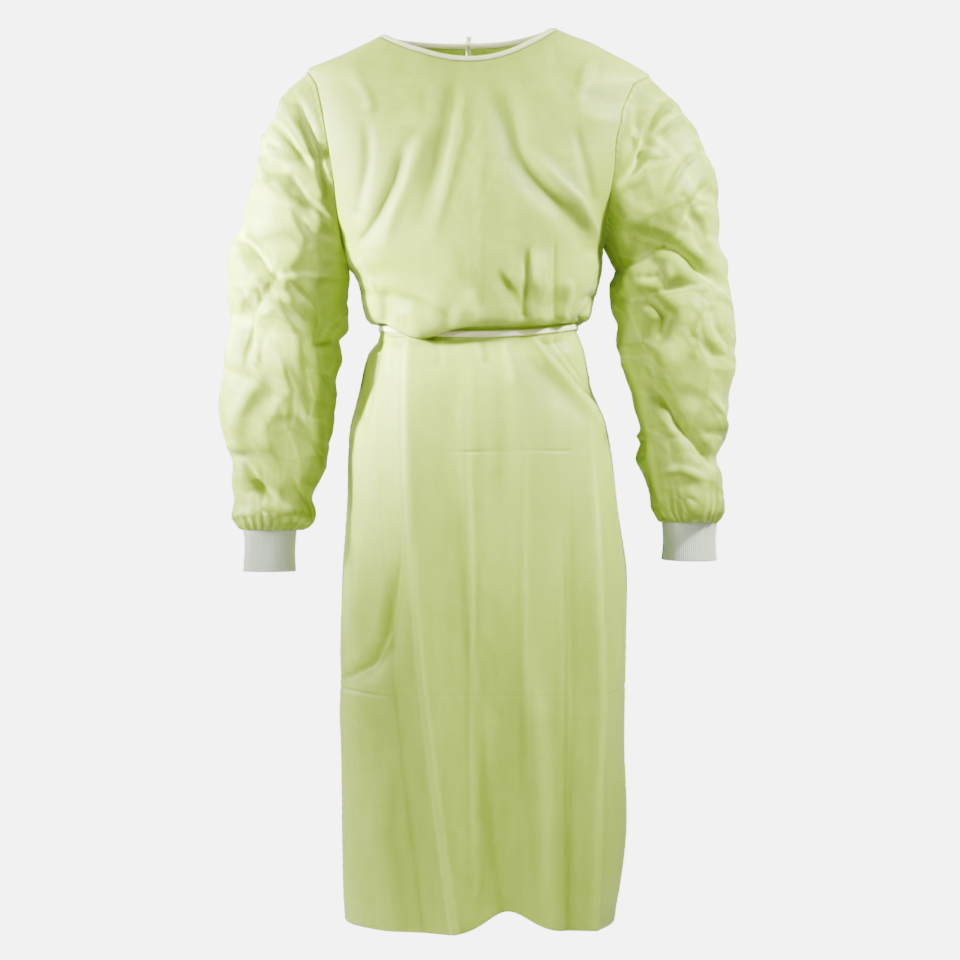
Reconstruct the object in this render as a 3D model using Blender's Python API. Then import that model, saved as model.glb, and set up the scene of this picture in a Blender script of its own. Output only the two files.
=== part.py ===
"""A disposable isolation gown as it hangs on a general figure, with nobody in it.

Metres, +Z up. The front faces -Y, and the wearer's right side is at -X. The origin is the middle of the
shoulder line, where a wearer holds the gown up. The tables are in millimetres in that same frame.
"""
import math
from collections import namedtuple

import bmesh
import bpy
import numpy as np

MM = 0.001

# Cloth, knit and tape
CLOTH = 1.5
KNIT = 2.0
RIB_HEIGHT = 0.7
BINDING_PROUD = 0.6
BINDING_UNDER = 2.0
TAPE = 1.2
TAPE_WIDTH = 8.0
SEAM_GAP = 0.3

# Mesh density
SMOOTH_ANGLE = math.radians(50)
COLUMNS = 28
RIGHT_SHOULDER_COLUMNS = 6
LEFT_SHOULDER_COLUMNS = 8
BACK_NECK_COLUMNS = 7
ARMHOLE_STEPS = 12
RING_COLUMNS = 56
RIBS = 30
SMALL_STEP = 0.5
SMALL_TURN = math.radians(0.5)

# The body cloth is read by rings. Run is the distance down the centre front. Each ring has its reach to the
# wearer's right and left, to the front and back, and its height at those four places.
Ring = namedtuple("Ring", "name run right left front back z_right z_left z_front z_back square")
BODY = (
    Ring("neck edge", 0, -129, 98, -62, 62, 25, 36, -12, 22, 2.0),
    Ring("binding seam", 6, -134, 103, -64, 65, 22, 33, -18, 16, 2.0),
    Ring("mid shoulder", 28, -181, 160, -73, 77, -2, 8, -40, -10, 2.05),
    Ring("shoulder tip", 52, -229, 226, -83, 88, -24, -32, -66, -42, 2.1),
    Ring("upper armhole", 100, -229, 222, -100, 103, -72, -74, -115, -98, 2.2),
    Ring("mid armhole", 180, -216, 208, -116, 113, -160, -150, -195, -185, 2.3),
    Ring("underarm", 260, -180, 165, -123, 113, -277, -249, -275, -275, 2.3),
    Ring("ribs", 295, -162, 161, -124, 110, -302, -296, -302, -302, 2.3),
    Ring("blouse top", 330, -154, 148, -123, 108, -338, -336, -340, -338, 2.2),
    Ring("blouse", 346, -150, 144, -121, 106, -352, -350, -356, -352, 2.2),
    Ring("blouse edge", 353, -144, 139, -115, 102, -358, -356, -365, -358, 2.2),
    Ring("underfold", 357, -138, 133, -107, 98, -360, -358, -368, -361, 2.2),
    Ring("tuck", 360, -133, 129, -102, 94, -361, -359, -371, -363, 2.2),
    Ring("tape foot", 374, -133, 129, -102, 94, -373, -371, -385, -375, 2.2),
    Ring("below tape", 382, -138, 132, -106, 97, -381, -379, -392, -383, 2.2),
    Ring("hip top", 398, -149, 140, -113, 103, -398, -397, -408, -400, 2.3),
    Ring("hip", 436, -160, 149, -124, 112, -438, -438, -444, -440, 2.3),
    Ring("low hip", 496, -173, 169, -132, 120, -500, -500, -502, -500, 2.4),
    Ring("thigh", 596, -179, 182, -141, 130, -600, -600, -600, -600, 2.4),
    Ring("knee", 700, -184, 195, -147, 138, -704, -704, -704, -704, 2.4),
    Ring("shin", 860, -186, 192, -151, 145, -864, -864, -864, -864, 2.4),
    Ring("low shin", 1010, -183, 194, -152, 148, -1014, -1014, -1014, -1014, 2.4),
    Ring("hem", 1144, -180, 179, -150, 148, -1148, -1148, -1148, -1148, 2.4),
)
NECK_RUN = 0.0
BINDING_RUN = 6.0
SHOULDER_RUN = 52.0
UNDERARM_RUN = 260.0
TAPE_RUN = 367.0
HEM_RUN = 1144.0

# Rows of the mesh between two runs
Span = namedtuple("Span", "end steps")
BELOW_ARMHOLE = (
    Span(295, 1), Span(330, 2), Span(346, 1), Span(353, 1), Span(357, 1), Span(360, 1), Span(374, 1),
    Span(382, 1), Span(398, 1), Span(436, 2), Span(496, 2), Span(596, 3), Span(860, 5), Span(HEM_RUN, 6),
)

# The armhole seam as it is seen from the front, from the shoulder tip to the underarm
ARMHOLE = {
    -1: ((-24, 229), (-45, 215), (-85, 206), (-129, 198), (-161, 193), (-206, 189), (-277, 180)),
    1: ((-32, 226), (-45, 203), (-80, 187), (-121, 178), (-160, 176), (-193, 170), (-249, 165)),
}
ARMHOLE_OPEN_MOST = math.radians(62)
HALVINGS = 40
QUARTER = math.pi / 2.0
# The way a sleeve leaves its armhole, as seen from the front, for each side
SLEEVE_WAY = {-1: (-0.98, 0.0, -0.19), 1: (0.96, 0.0, -0.27)}

# A sleeve is read by rings too: the outer and inner end of each as seen from the front, its half depth
# and the place of its middle from front to back
Cross = namedtuple("Cross", "run outer z_outer inner z_inner half_depth middle")
SLEEVE = {
    -1: (
        Cross(0, -229, -24, -180, -277, 60, 0),
        Cross(36, -266, -72, -180, -290, 65, 0),
        Cross(97, -303, -161, -178, -318, 68, -1),
        Cross(128, -318, -201, -178, -338, 68, -2),
        Cross(181, -333, -281, -181, -362, 66, -4),
        Cross(211, -333, -321, -193, -380, 62, -5),
        Cross(239, -327, -360, -189, -396, 63, -6),
        Cross(275, -334, -400, -192, -427, 62, -8),
        Cross(346, -339, -480, -197, -488, 58, -12),
        Cross(383, -336, -521, -203, -521, 55, -14),
        Cross(403, -327, -541, -207, -541, 51, -15),
        Cross(428, -331, -567, -214, -564, 50, -17),
        Cross(455, -328, -593, -225, -593, 46, -19),
        Cross(475, -327, -614, -222, -612, 46, -20),
        Cross(487, -320, -626, -229, -625, 38, -21),
        Cross(494, -313.5, -633, -242.5, -633, 26, -22),
    ),
    1: (
        Cross(0, 226, -32, 165, -249, 60, 0),
        Cross(36, 266, -72, 173, -263, 65, 0),
        Cross(86, 303, -141, 185, -282, 68, -1),
        Cross(111, 315, -181, 189, -289, 68, -2),
        Cross(139, 317, -214, 178, -311, 67, -3),
        Cross(165, 317, -247, 177, -330, 67, -4),
        Cross(199, 327, -290, 180, -354, 64, -5),
        Cross(259, 338, -360, 184, -402, 63, -7),
        Cross(288, 334, -394, 189, -426, 61, -9),
        Cross(329, 330, -440, 197, -462, 58, -11),
        Cross(385, 327, -508, 211, -505, 55, -14),
        Cross(418, 315, -541, 206, -537, 50, -16),
        Cross(443, 321, -564, 215, -561, 49, -18),
        Cross(469, 323, -591, 222, -585, 47, -20),
        Cross(487, 321, -608, 225, -604, 44, -21),
        Cross(499, 315, -618, 235, -618, 34, -22),
        Cross(504, 313.5, -623.5, 239.5, -622.5, 26, -22),
    ),
}
CUFF_LENGTH = {-1: 55.0, 1: 51.0}
CUFF_TAPER = 1.5
# Along this much of the sleeve, the armhole's own shape fades into the sleeve's rings
HEAD_BLEND = 95.0
SLEEVE_STEP = 30.0
# A sleeve's own folds fade out this far from its armhole seam and from its cuff
HEAD_CALM = 30.0
CUFF_CALM = 12.0

# Folds, each along a path seen from the front or the back. A depth above zero stands out as a ridge, one
# below zero sinks as a trough. Width and other are its reach on the two sides of its path. Start and end are its
# strength at the path's ends. A sharp fold has straight flanks, a soft one rounded.
Fold = namedtuple("Fold", "name path depth width other start end sharp")
FRONT_FOLDS = (
    Fold("left drag trough", ((13, -35), (33, -96), (44, -146), (70, -182), (104, -217), (141, -259)),
         -8, 18, 16, 0.1, 0.6, False),
    Fold("left drag ridge", ((55, -129), (100, -180), (132, -206), (157, -250)), 5, 14, 14, 0.1, 0.5, False),
    Fold("breast trough", ((-37, -25), (-43, -96), (-57, -162), (-77, -227)), -3, 18, 18, 0.1, 0.3, False),
    Fold("right drag trough", ((-94, -125), (-110, -180), (-128, -217), (-148, -247)),
         -6, 16, 14, 0.1, 0.6, False),
    Fold("right drag ridge", ((-68, -101), (-114, -214), (-124, -261)), 4, 16, 14, 0.1, 0.4, False),
    Fold("blouse trough", ((61, -257), (61, -356)), -7, 11, 9, 0.2, 1, False),
    Fold("blouse ridge", ((80, -275), (82, -356)), 5, 13, 13, 0.2, 1, False),
    Fold("blouse slant", ((22, -292), (50, -356)), -4, 11, 10, 0.1, 1, False),
    Fold("right blouse trough", ((-124, -315), (-126, -356)), -4, 12, 10, 0.1, 1, False),
    Fold("right skirt crease",
         ((-93, -385), (-94, -481), (-85, -646), (-73, -797), (-57, -942), (-29, -1165)),
         13, 60, 42, 0.5, 1, True),
    Fold("left skirt crease", ((140, -500), (145, -560), (146, -729), (148, -859), (138, -1168)),
         9, 46, 28, 0.2, 1, True),
    Fold("left hip slant", ((60, -384), (112, -438), (157, -498)), 6, 15, 15, 1, 0.3, False),
    Fold("left hip trough", ((82, -384), (128, -438), (160, -470)), -5, 12, 12, 1, 0.3, False),
    Fold("right hip pocket", ((-138, -384), (-160, -477), (-152, -525)), -6, 15, 15, 0.8, 0.2, False),
    Fold("right knee arch", ((-94, -648), (-122, -778), (-146, -811), (-173, -825)),
         -5, 20, 20, 0.1, 0.4, False),
    Fold("hem hollow", ((30, -980), (36, -1165)), -14, 38, 38, 0.0, 1, False),
    Fold("hem flute", ((82, -960), (92, -1165)), 6, 24, 24, 0.0, 1, False),
)
BACK_FOLDS = (
    Fold("left blade trough", ((52, -70), (100, -155), (146, -245)), -6, 18, 18, 0.1, 0.6, False),
    Fold("right blade trough", ((-62, -82), (-112, -165), (-152, -252)), -7, 18, 16, 0.1, 0.6, False),
    Fold("left back ridge", ((88, -200), (84, -356)), 4, 16, 16, 0.1, 1, False),
    Fold("left blouse trough", ((112, -262), (104, -356)), -6, 12, 12, 0.1, 1, False),
    Fold("right blouse trough", ((-72, -280), (-70, -356)), -5, 12, 12, 0.1, 1, False),
    Fold("far blouse trough", ((-112, -270), (-106, -356)), -6, 12, 12, 0.1, 1, False),
    Fold("left skirt pleat", ((92, -384), (100, -600), (106, -880), (100, -1165)), 11, 42, 52, 0.4, 1, True),
    Fold("right skirt pleat", ((-88, -384), (-92, -560), (-100, -860), (-108, -1165)),
         10, 52, 40, 0.4, 1, True),
    Fold("left hip trough", ((130, -384), (150, -425), (160, -465)), -4, 12, 12, 1, 0.1, False),
    Fold("right hip trough", ((-126, -384), (-148, -470), (-158, -560)), -6, 15, 15, 1, 0.2, False),
)
SLEEVE_FRONT_FOLDS = (
    Fold("right head trough", ((-243, -56), (-220, -110), (-191, -206)), -6, 10, 10, 0.2, 0.6, False),
    Fold("right head ridge", ((-259, -70), (-229, -124), (-198, -192)), 4, 10, 10, 0.2, 0.4, False),
    Fold("right second trough", ((-272, -88), (-233, -140), (-199, -178)), -6, 11, 11, 0.2, 0.5, False),
    Fold("right elbow trough", ((-325, -243), (-270, -299)), -7, 14, 14, 0.2, 0.4, False),
    Fold("right elbow panel", ((-270, -299), (-298, -347), (-310, -422)), -5, 12, 14, 0.3, 0.1, False),
    Fold("right forearm ridge", ((-287, -431), (-313, -485), (-313, -524)), 5, 15, 15, 0.1, 0.4, False),
    Fold("right wrist trough", ((-318, -540), (-287, -579), (-252, -596)), -6, 11, 11, 0.4, 0.2, False),
    Fold("left head trough", ((203, -50), (200, -105), (190, -140)), -5, 10, 9, 0.2, 0.4, False),
    Fold("left head ridge", ((257, -61), (232, -90), (214, -118)), 5, 11, 11, 0.2, 0.4, False),
    Fold("left second trough", ((232, -80), (211, -129), (184, -177)), -6, 11, 10, 0.2, 0.6, False),
    Fold("left elbow trough", ((207, -252), (254, -266), (315, -312)), -7, 12, 12, 0.5, 0.2, False),
    Fold("left inner trough", ((216, -327), (243, -352), (232, -387)), -6, 13, 13, 0.3, 0.1, False),
    Fold("left forearm trough", ((222, -434), (254, -487), (298, -540)), -6, 13, 13, 0.1, 0.5, False),
    Fold("left forearm ridge", ((292, -450), (315, -480), (322, -512)), 4, 12, 12, 0.1, 0.3, False),
)
SLEEVE_BACK_FOLDS = (
    Fold("right head trough", ((-252, -72), (-222, -130), (-194, -205)), -6, 12, 12, 0.2, 0.5, False),
    Fold("right elbow trough", ((-200, -345), (-262, -356), (-322, -330)), -7, 14, 14, 0.4, 0.2, False),
    Fold("right forearm trough", ((-225, -445), (-275, -475), (-312, -530)), -6, 14, 14, 0.1, 0.4, False),
    Fold("left head trough", ((244, -70), (214, -125), (184, -190)), -6, 12, 12, 0.2, 0.5, False),
    Fold("left elbow trough", ((196, -318), (255, -345), (318, -322)), -7, 14, 14, 0.4, 0.2, False),
    Fold("left forearm trough", ((232, -470), (270, -455), (318, -420)), -6, 14, 14, 0.3, 0.1, False),
)
FADE_SHARE = 0.3
SHARP_FLANK = 1.3
SOFT_FLANK = 2.0
# How fast the front's folds give way to the back's at the side line
SIDE_BLEND = 2.5
# Folds lie flat under the waist tape, and come back over this distance from its edges
CALM_HALF = 7.0
CALM_FADE = 9.0
# The bloused cloth hangs lowest over the tape here, at the front
DROP_DEPTH = 17.0
DROP_MIDDLE = -72.0
DROP_HALF = 46.0
DROP_RUN = 353.0
DROP_RUN_HALF = 3.5
# The front hem lifts here between its two flutes
HEM_LIFT = 27.0
HEM_LIFT_MIDDLE = 36.0
HEM_LIFT_HALF = 38.0
HEM_LIFT_RUN = 150.0

# The left back panel laps over the right one, a little below the neck
LAP_TURN = math.radians(15)
LAP_NECK_TURN = math.radians(-1.3)
LAP_START_RUN = 24.0
LAP_FULL_RUN = 120.0
LAP_LIFT = 3.4
LIFT_RAMP_TURN = math.radians(16)

# The same laps as shares of the back's whole width, growing over these shares of the rows down to
# the underarm
LAP_SHARE = LAP_TURN / math.pi
LAP_NECK_SHARE = -0.0045
LAP_GROWS_FROM = 0.1
LAP_GROWS_OVER = 0.5
TIE_GAP_TURN = math.radians(2.5)
TIE_CLEAR = 0.6

# The panels' meshes are laid out round their neck, with the neckline between these shares of the width
CHART_NECK = 60.0
NECK_SHARES = (RIGHT_SHOULDER_COLUMNS / COLUMNS, 1.0 - LEFT_SHOULDER_COLUMNS / COLUMNS)

# Knots and tape ends at the back
KNOT_SIZE = (15.0, 8.0, 12.0)
KNOT_SEGMENTS = 12
KNOT_RINGS = 8
NECK_KNOT_RISE = 3.0
# The rounded knot is this much nearer the binding than a flat one, so that their faces almost touch
NECK_KNOT_NEARER = 0.9
NECK_STUB = 13.0
STUB_SUNK = 1.0
END_WIDTH = 7.0
NECK_END_RUNS = np.linspace(8.0, 52.0, 5)
NECK_END_CLEAR = 3.2
WAIST_END_START = 2.0
WAIST_END_ROWS = 9
WAIST_END_CLEAR = 3.4
# Each end's angle from the centre back at its knot and at its tip, and its length
WaistEnd = namedtuple("WaistEnd", "turn_knot turn_tip length")
WAIST_ENDS = (
    WaistEnd(-0.019, -0.055, 150.0),
    WaistEnd(0.018, 0.050, 129.0),
)

Finish = namedtuple("Finish", "name colour roughness")
NONWOVEN = Finish("yellow nonwoven", (0.58, 0.68, 0.33), 0.72)
RIB_KNIT = Finish("white rib knit", (0.72, 0.74, 0.70), 0.9)
WHITE_TAPE = Finish("white nonwoven tape", (0.85, 0.86, 0.78), 0.75)


def clear_scene():
    for scene_object in list(bpy.data.objects):
        bpy.data.objects.remove(scene_object, do_unlink=True)


def material(finish):
    """The finish's material, made once."""
    found = bpy.data.materials.get(finish.name)
    if found:
        return found
    made = bpy.data.materials.new(finish.name)
    made.use_nodes = True
    shader = made.node_tree.nodes["Principled BSDF"]
    shader.inputs["Base Color"].default_value = (*finish.colour, 1.0)
    shader.inputs["Roughness"].default_value = finish.roughness
    shader.inputs["Metallic"].default_value = 0.0
    return made


def ease(value):
    """Smooth step from 0 to 1."""
    held = np.clip(value, 0.0, 1.0)
    return held * held * (3.0 - 2.0 * held)


def unit(vectors):
    return vectors / np.linalg.norm(vectors, axis=-1, keepdims=True)


def read_table(rows, at):
    """Columns of a table of numbers at distances between its rows, smooth and without overshoot."""
    stations = rows[:, 0]
    values = rows[:, 1:]
    gaps = np.diff(stations)
    slopes = np.diff(values, axis=0) / gaps[:, None]
    before, after = slopes[:-1], slopes[1:]
    same_way = before * after > 0
    total = np.where(same_way, before + after, 1.0)
    tangents = np.vstack([slopes[:1], np.where(same_way, 2.0 * before * after / total, 0.0), slopes[-1:]])
    at = np.asarray(at, dtype=float)
    index = np.clip(np.searchsorted(stations, at, side="right") - 1, 0, len(gaps) - 1)
    step = gaps[index][..., None]
    share = ((at - stations[index]) / gaps[index])[..., None]
    start = values[index]
    rise = values[index + 1] - start
    leave, arrive = tangents[index] * step, tangents[index + 1] * step
    bend = 3.0 * rise - 2.0 * leave - arrive
    twist = leave + arrive - 2.0 * rise
    return start + share * (leave + share * (bend + share * twist))


BODY_ROWS = np.array([ring[1:] for ring in BODY], dtype=float)
SLEEVE_ROWS = {side: np.array(rows, dtype=float) for side, rows in SLEEVE.items()}


def plain_body(turn, run):
    """Body cloth without folds. Turn is 0 at the centre front and grows to the wearer's left."""
    right, left, front, back, z_right, z_left, z_front, z_back, square = np.moveaxis(
        read_table(BODY_ROWS, run), -1, 0)
    across, ahead = np.sin(turn), np.cos(turn)
    bend = 2.0 / square
    x = (left + right) / 2.0 + (left - right) / 2.0 * np.sign(across) * np.abs(across) ** bend
    y = np.where(ahead > 0, front, back) * np.abs(ahead) ** bend
    side_z = np.where(across > 0, z_left, z_right)
    middle_z = np.where(ahead > 0, z_front, z_back)
    z = side_z * across ** 2 + middle_z * ahead ** 2
    return np.stack([x, y, z], axis=-1)


def plain_sleeve(side, around, run):
    """Sleeve cloth without folds. Around is 0 on the outer side and a quarter turn at the front."""
    cross = read_table(SLEEVE_ROWS[side], run)
    outer, z_outer, inner, z_inner, half_depth, middle = np.moveaxis(cross, -1, 0)
    x = (outer + inner) / 2.0 + (outer - inner) / 2.0 * np.cos(around)
    z = (z_outer + z_inner) / 2.0 + (z_outer - z_inner) / 2.0 * np.cos(around)
    y = middle - half_depth * np.sin(around)
    return np.stack([x, y, z], axis=-1)


def body_turn(facing, behind):
    """Turn of a place on the front or the back. Facing is 0 at its middle and grows to the wearer's left."""
    return math.pi - facing if behind else facing


def fold_depth(fold, x, z):
    """How far one fold moves the cloth at points seen from the front."""
    spots = np.array(fold.path, dtype=float)
    lengths = np.linalg.norm(np.diff(spots, axis=0), axis=1)
    run_before = np.concatenate([[0.0], np.cumsum(lengths)])
    nearest = np.full(x.shape, np.inf)
    share = np.zeros(x.shape)
    beside = np.zeros(x.shape)
    for number, length in enumerate(lengths):
        start = spots[number]
        way = (spots[number + 1] - start) / length
        offset_x, offset_z = x - start[0], z - start[1]
        along = np.clip(offset_x * way[0] + offset_z * way[1], 0.0, length)
        gap_x, gap_z = offset_x - along * way[0], offset_z - along * way[1]
        distance = np.hypot(gap_x, gap_z)
        closer = distance < nearest
        nearest = np.where(closer, distance, nearest)
        share = np.where(closer, (run_before[number] + along) / run_before[-1], share)
        beside = np.where(closer, gap_x * way[1] - gap_z * way[0], beside)
    reach = nearest / np.where(beside < 0, fold.width, fold.other)
    if fold.sharp:
        shape = np.clip(1.0 - reach, 0.0, 1.0) ** SHARP_FLANK
    else:
        shape = np.exp(-SOFT_FLANK * reach ** 2)
    start_part = fold.start + (1.0 - fold.start) * ease(share / FADE_SHARE)
    end_part = fold.end + (1.0 - fold.end) * ease((1.0 - share) / FADE_SHARE)
    return fold.depth * shape * start_part * end_part


def folds_at(points, front_folds, back_folds, frontness):
    """Sum of all folds. Frontness is 1 where the cloth faces forward and 0 where it faces back."""
    x, z = points[..., 0], points[..., 2]
    ahead = sum(fold_depth(fold, x, z) for fold in front_folds)
    behind = sum(fold_depth(fold, x, z) for fold in back_folds)
    return ahead * frontness + behind * (1.0 - frontness)


def surface_normal(surface, first, second):
    """Unit normal of a surface of two values, on the side that faces away from the garment's inside."""
    along_first = surface(first + SMALL_TURN, second) - surface(first - SMALL_TURN, second)
    along_second = surface(first, second + SMALL_STEP) - surface(first, second - SMALL_STEP)
    return unit(np.cross(along_first, along_second))


def calm(run):
    """1 away from the waist tape, 0 under it."""
    return ease((np.abs(run - TAPE_RUN) - CALM_HALF) / CALM_FADE)


def body_point(turn, run):
    """Outer face of the body cloth, with its folds."""
    base = plain_body(turn, run)
    normal = -surface_normal(plain_body, turn, run)
    frontness = ease(0.5 + SIDE_BLEND * np.cos(turn))
    depth = folds_at(base, FRONT_FOLDS, BACK_FOLDS, frontness) * calm(run)
    point = base + normal * depth[..., None]
    drop = np.exp(-((base[..., 0] - DROP_MIDDLE) / DROP_HALF) ** 2)
    drop = drop * np.exp(-((run - DROP_RUN) / DROP_RUN_HALF) ** 2)
    lift = np.exp(-((base[..., 0] - HEM_LIFT_MIDDLE) / HEM_LIFT_HALF) ** 2)
    lift = lift * ease((run - HEM_RUN + HEM_LIFT_RUN) / HEM_LIFT_RUN)
    point[..., 2] += frontness * (HEM_LIFT * lift - DROP_DEPTH * drop)
    return point


def body_normal(turn, run):
    return -surface_normal(body_point, turn, run)


def seam_open(side, behind, run):
    """Angle from the side line at which the ring at this run meets the armhole seam, found by halving."""
    seam = np.array(ARMHOLE[side][::-1], dtype=float)
    narrow = np.zeros(run.shape)
    wide = np.full(run.shape, ARMHOLE_OPEN_MOST)
    for _ in range(HALVINGS):
        middle = (narrow + wide) / 2.0
        point = plain_body(body_turn(side * (QUARTER - middle), behind), run)
        outside = side * point[..., 0] > np.interp(point[..., 2], seam[:, 0], seam[:, 1])
        narrow = np.where(outside, middle, narrow)
        wide = np.where(outside, wide, middle)
    return narrow


def armhole_edge(side, behind):
    """Facing angle and run of the armhole seam's points, from the shoulder tip to the underarm."""
    seam = ARMHOLE[side]
    steps = np.arange(ARMHOLE_STEPS + 1) * math.pi / ARMHOLE_STEPS
    heights = seam[0][0] + (seam[-1][0] - seam[0][0]) * (1.0 - np.cos(steps)) / 2.0
    upper = np.full(heights.shape, SHOULDER_RUN)
    lower = np.full(heights.shape, UNDERARM_RUN)
    for _ in range(HALVINGS):
        middle = (upper + lower) / 2.0
        point = plain_body(body_turn(side * (QUARTER - seam_open(side, behind, middle)), behind), middle)
        above = point[..., 2] > heights
        upper = np.where(above, middle, upper)
        lower = np.where(above, lower, middle)
    upper[0], upper[-1] = SHOULDER_RUN, UNDERARM_RUN
    facing = side * (QUARTER - seam_open(side, behind, upper))
    facing[0] = facing[-1] = side * QUARTER
    return facing, upper


def armhole_loop(side):
    """Seam points from the shoulder tip down the front and up the back, with the outward direction there."""
    front_facing, front_run = armhole_edge(side, False)
    back_facing, back_run = armhole_edge(side, True)
    front = body_point(body_turn(front_facing, False), front_run)
    back = body_point(body_turn(back_facing, True), back_run)
    loop = np.vstack([front, back[-2:0:-1]])
    along = np.roll(loop, -1, axis=0) - np.roll(loop, 1, axis=0)
    outward = unit(np.cross(along, np.array(SLEEVE_WAY[side]))) * side
    return loop, outward


LOOPS = {}


def sleeve_point(side, around, run):
    """Outer face of a sleeve with its folds. Its head takes the armhole's own shape."""
    base = plain_sleeve(side, around, run)
    loop, _ = LOOPS[side]
    stations = np.arange(len(loop) + 1) * 2.0 * math.pi / len(loop)
    offsets = np.vstack([loop, loop[:1]]) - plain_sleeve(side, stations, np.zeros(len(stations)))
    place = np.mod(around, 2.0 * math.pi)
    head = np.stack([np.interp(place, stations, offsets[:, axis]) for axis in range(3)], axis=-1)
    fade = (1.0 - ease(run / HEAD_BLEND))[..., None]
    base = base + head * fade
    normal = plain_sleeve_normal(side, around, run)
    frontness = ease(0.5 + SIDE_BLEND * np.sin(around))
    away = ease(run / HEAD_CALM) * ease((SLEEVE[side][-1].run - run) / CUFF_CALM)
    depth = folds_at(base, SLEEVE_FRONT_FOLDS, SLEEVE_BACK_FOLDS, frontness) * away
    return base + normal * depth[..., None]


def plain_sleeve_normal(side, around, run):
    return surface_normal(lambda first, second: plain_sleeve(side, first, second), around, run) * side


def sleeve_normal(side, around, run):
    return surface_normal(lambda first, second: sleeve_point(side, first, second), around, run) * side


def add_object(name, vertices, faces, finish):
    """One closed mesh in metres as a named object with its material."""
    mesh = bpy.data.meshes.new(name)
    mesh.from_pydata([tuple(point * MM) for point in vertices], [], faces)
    work = bmesh.new()
    work.from_mesh(mesh)
    bmesh.ops.triangulate(work, faces=work.faces[:])
    bmesh.ops.recalc_face_normals(work, faces=work.faces[:])
    work.to_mesh(mesh)
    work.free()
    mesh.shade_smooth()
    mesh.set_sharp_from_angle(angle=SMOOTH_ANGLE)
    mesh.materials.append(material(finish))
    made = bpy.data.objects.new(name, mesh)
    bpy.context.collection.objects.link(made)
    return made


def add_wall(name, outer, inner, ring, finish):
    """A wall between two grids of points, closed at its edges. A ring's last column meets its first."""
    rows, columns = outer.shape[:2]
    points = np.concatenate([outer.reshape(-1, 3), inner.reshape(-1, 3)])
    under = rows * columns

    def spot(row, column, layer):
        return layer * under + row * columns + column % columns

    faces = []
    column_steps = columns if ring else columns - 1
    for row in range(rows - 1):
        for column in range(column_steps):
            square = (row, column), (row, column + 1), (row + 1, column + 1), (row + 1, column)
            faces.append([spot(*corner, 0) for corner in square])
            faces.append([spot(*corner, 1) for corner in reversed(square)])
    for column in range(column_steps):
        for row in (0, rows - 1):
            faces.append([spot(row, column, 0), spot(row, column, 1), spot(row, column + 1, 1),
                          spot(row, column + 1, 0)])
    if not ring:
        for row in range(rows - 1):
            for column in (0, columns - 1):
                faces.append([spot(row, column, 0), spot(row + 1, column, 0), spot(row + 1, column, 1),
                              spot(row, column, 1)])
    return add_object(name, points, faces, finish)


def rows_through(start, spans):
    """Runs from a start through the spans' ends, start left out."""
    runs = []
    for span in spans:
        runs += list(np.linspace(start, span.end, span.steps + 1)[1:])
        start = span.end
    return runs


def flat_chart(facing, run):
    """The panel laid out flat round its neck, as a place on a plane."""
    radius = CHART_NECK + run
    return np.stack([radius * np.sin(facing), -radius * np.cos(facing)], axis=-1)


def top_edge(shares):
    """A panel's upper edge in the chart: right shoulder seam, neckline, left shoulder seam."""
    neck = BINDING_RUN + SEAM_GAP / 2.0
    right_end, left_start = NECK_SHARES
    run = np.interp(shares, (0.0, right_end, left_start, 1.0), (SHOULDER_RUN, neck, neck, SHOULDER_RUN))
    facing = np.interp(shares, NECK_SHARES, (-QUARTER, QUARTER))
    return flat_chart(facing, run)


def panel_places(shares, behind):
    """Facing angle and run of a panel's points, by rows from its upper edge down."""
    upper = shares[:ARMHOLE_STEPS + 1]
    down = np.linspace(0.0, 1.0, ARMHOLE_STEPS + 1)[:, None, None]
    bottom = flat_chart((2.0 * upper - 1.0) * QUARTER, np.full(upper.shape, UNDERARM_RUN))
    chart = (1.0 - down) * top_edge(upper) + down * bottom
    for side, near in ((-1, 1.0 - 2.0 * upper), (1, 2.0 * upper - 1.0)):
        edge = flat_chart(*armhole_edge(side, behind))[:, None, :]
        straight = (1.0 - down) * edge[0] + down * edge[-1]
        chart = chart + ease(near)[..., None] * (edge - straight)
    facing = np.arctan2(chart[..., 0], -chart[..., 1])
    run = np.hypot(chart[..., 0], chart[..., 1]) - CHART_NECK
    below = np.array(rows_through(UNDERARM_RUN, BELOW_ARMHOLE))[:, None]
    lower = shares[ARMHOLE_STEPS + 1:]
    facing = np.vstack([facing, (2.0 * lower - 1.0) * QUARTER])
    run = np.vstack([run, np.repeat(below, lower.shape[1], axis=1)])
    return facing, run


def part_seams(outer, normal, column, side, behind):
    """Takes half a seam's gap off a panel's side edge, and turns its armhole rim to the sleeve's."""
    half_gap = SEAM_GAP / 2.0
    away = np.array((0.0, half_gap if behind else -half_gap, 0.0))
    outer[ARMHOLE_STEPS:, column] += away
    loop, outward = LOOPS[side]
    steps = np.arange(ARMHOLE_STEPS + 1)
    places = (len(loop) - steps) % len(loop) if behind else steps
    outer[:ARMHOLE_STEPS + 1, column] -= np.array(SLEEVE_WAY[side]) * half_gap
    normal[:ARMHOLE_STEPS + 1, column] = outward[places]


def part_shoulders(outer, shares, behind):
    """Takes half a seam's gap off a panel's shoulder seams."""
    half_gap = SEAM_GAP / 2.0
    right_end, left_start = NECK_SHARES
    on_shoulder = (shares[0] <= right_end) | (shares[0] >= left_start)
    outer[0, on_shoulder, 1] += half_gap if behind else -half_gap


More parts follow.
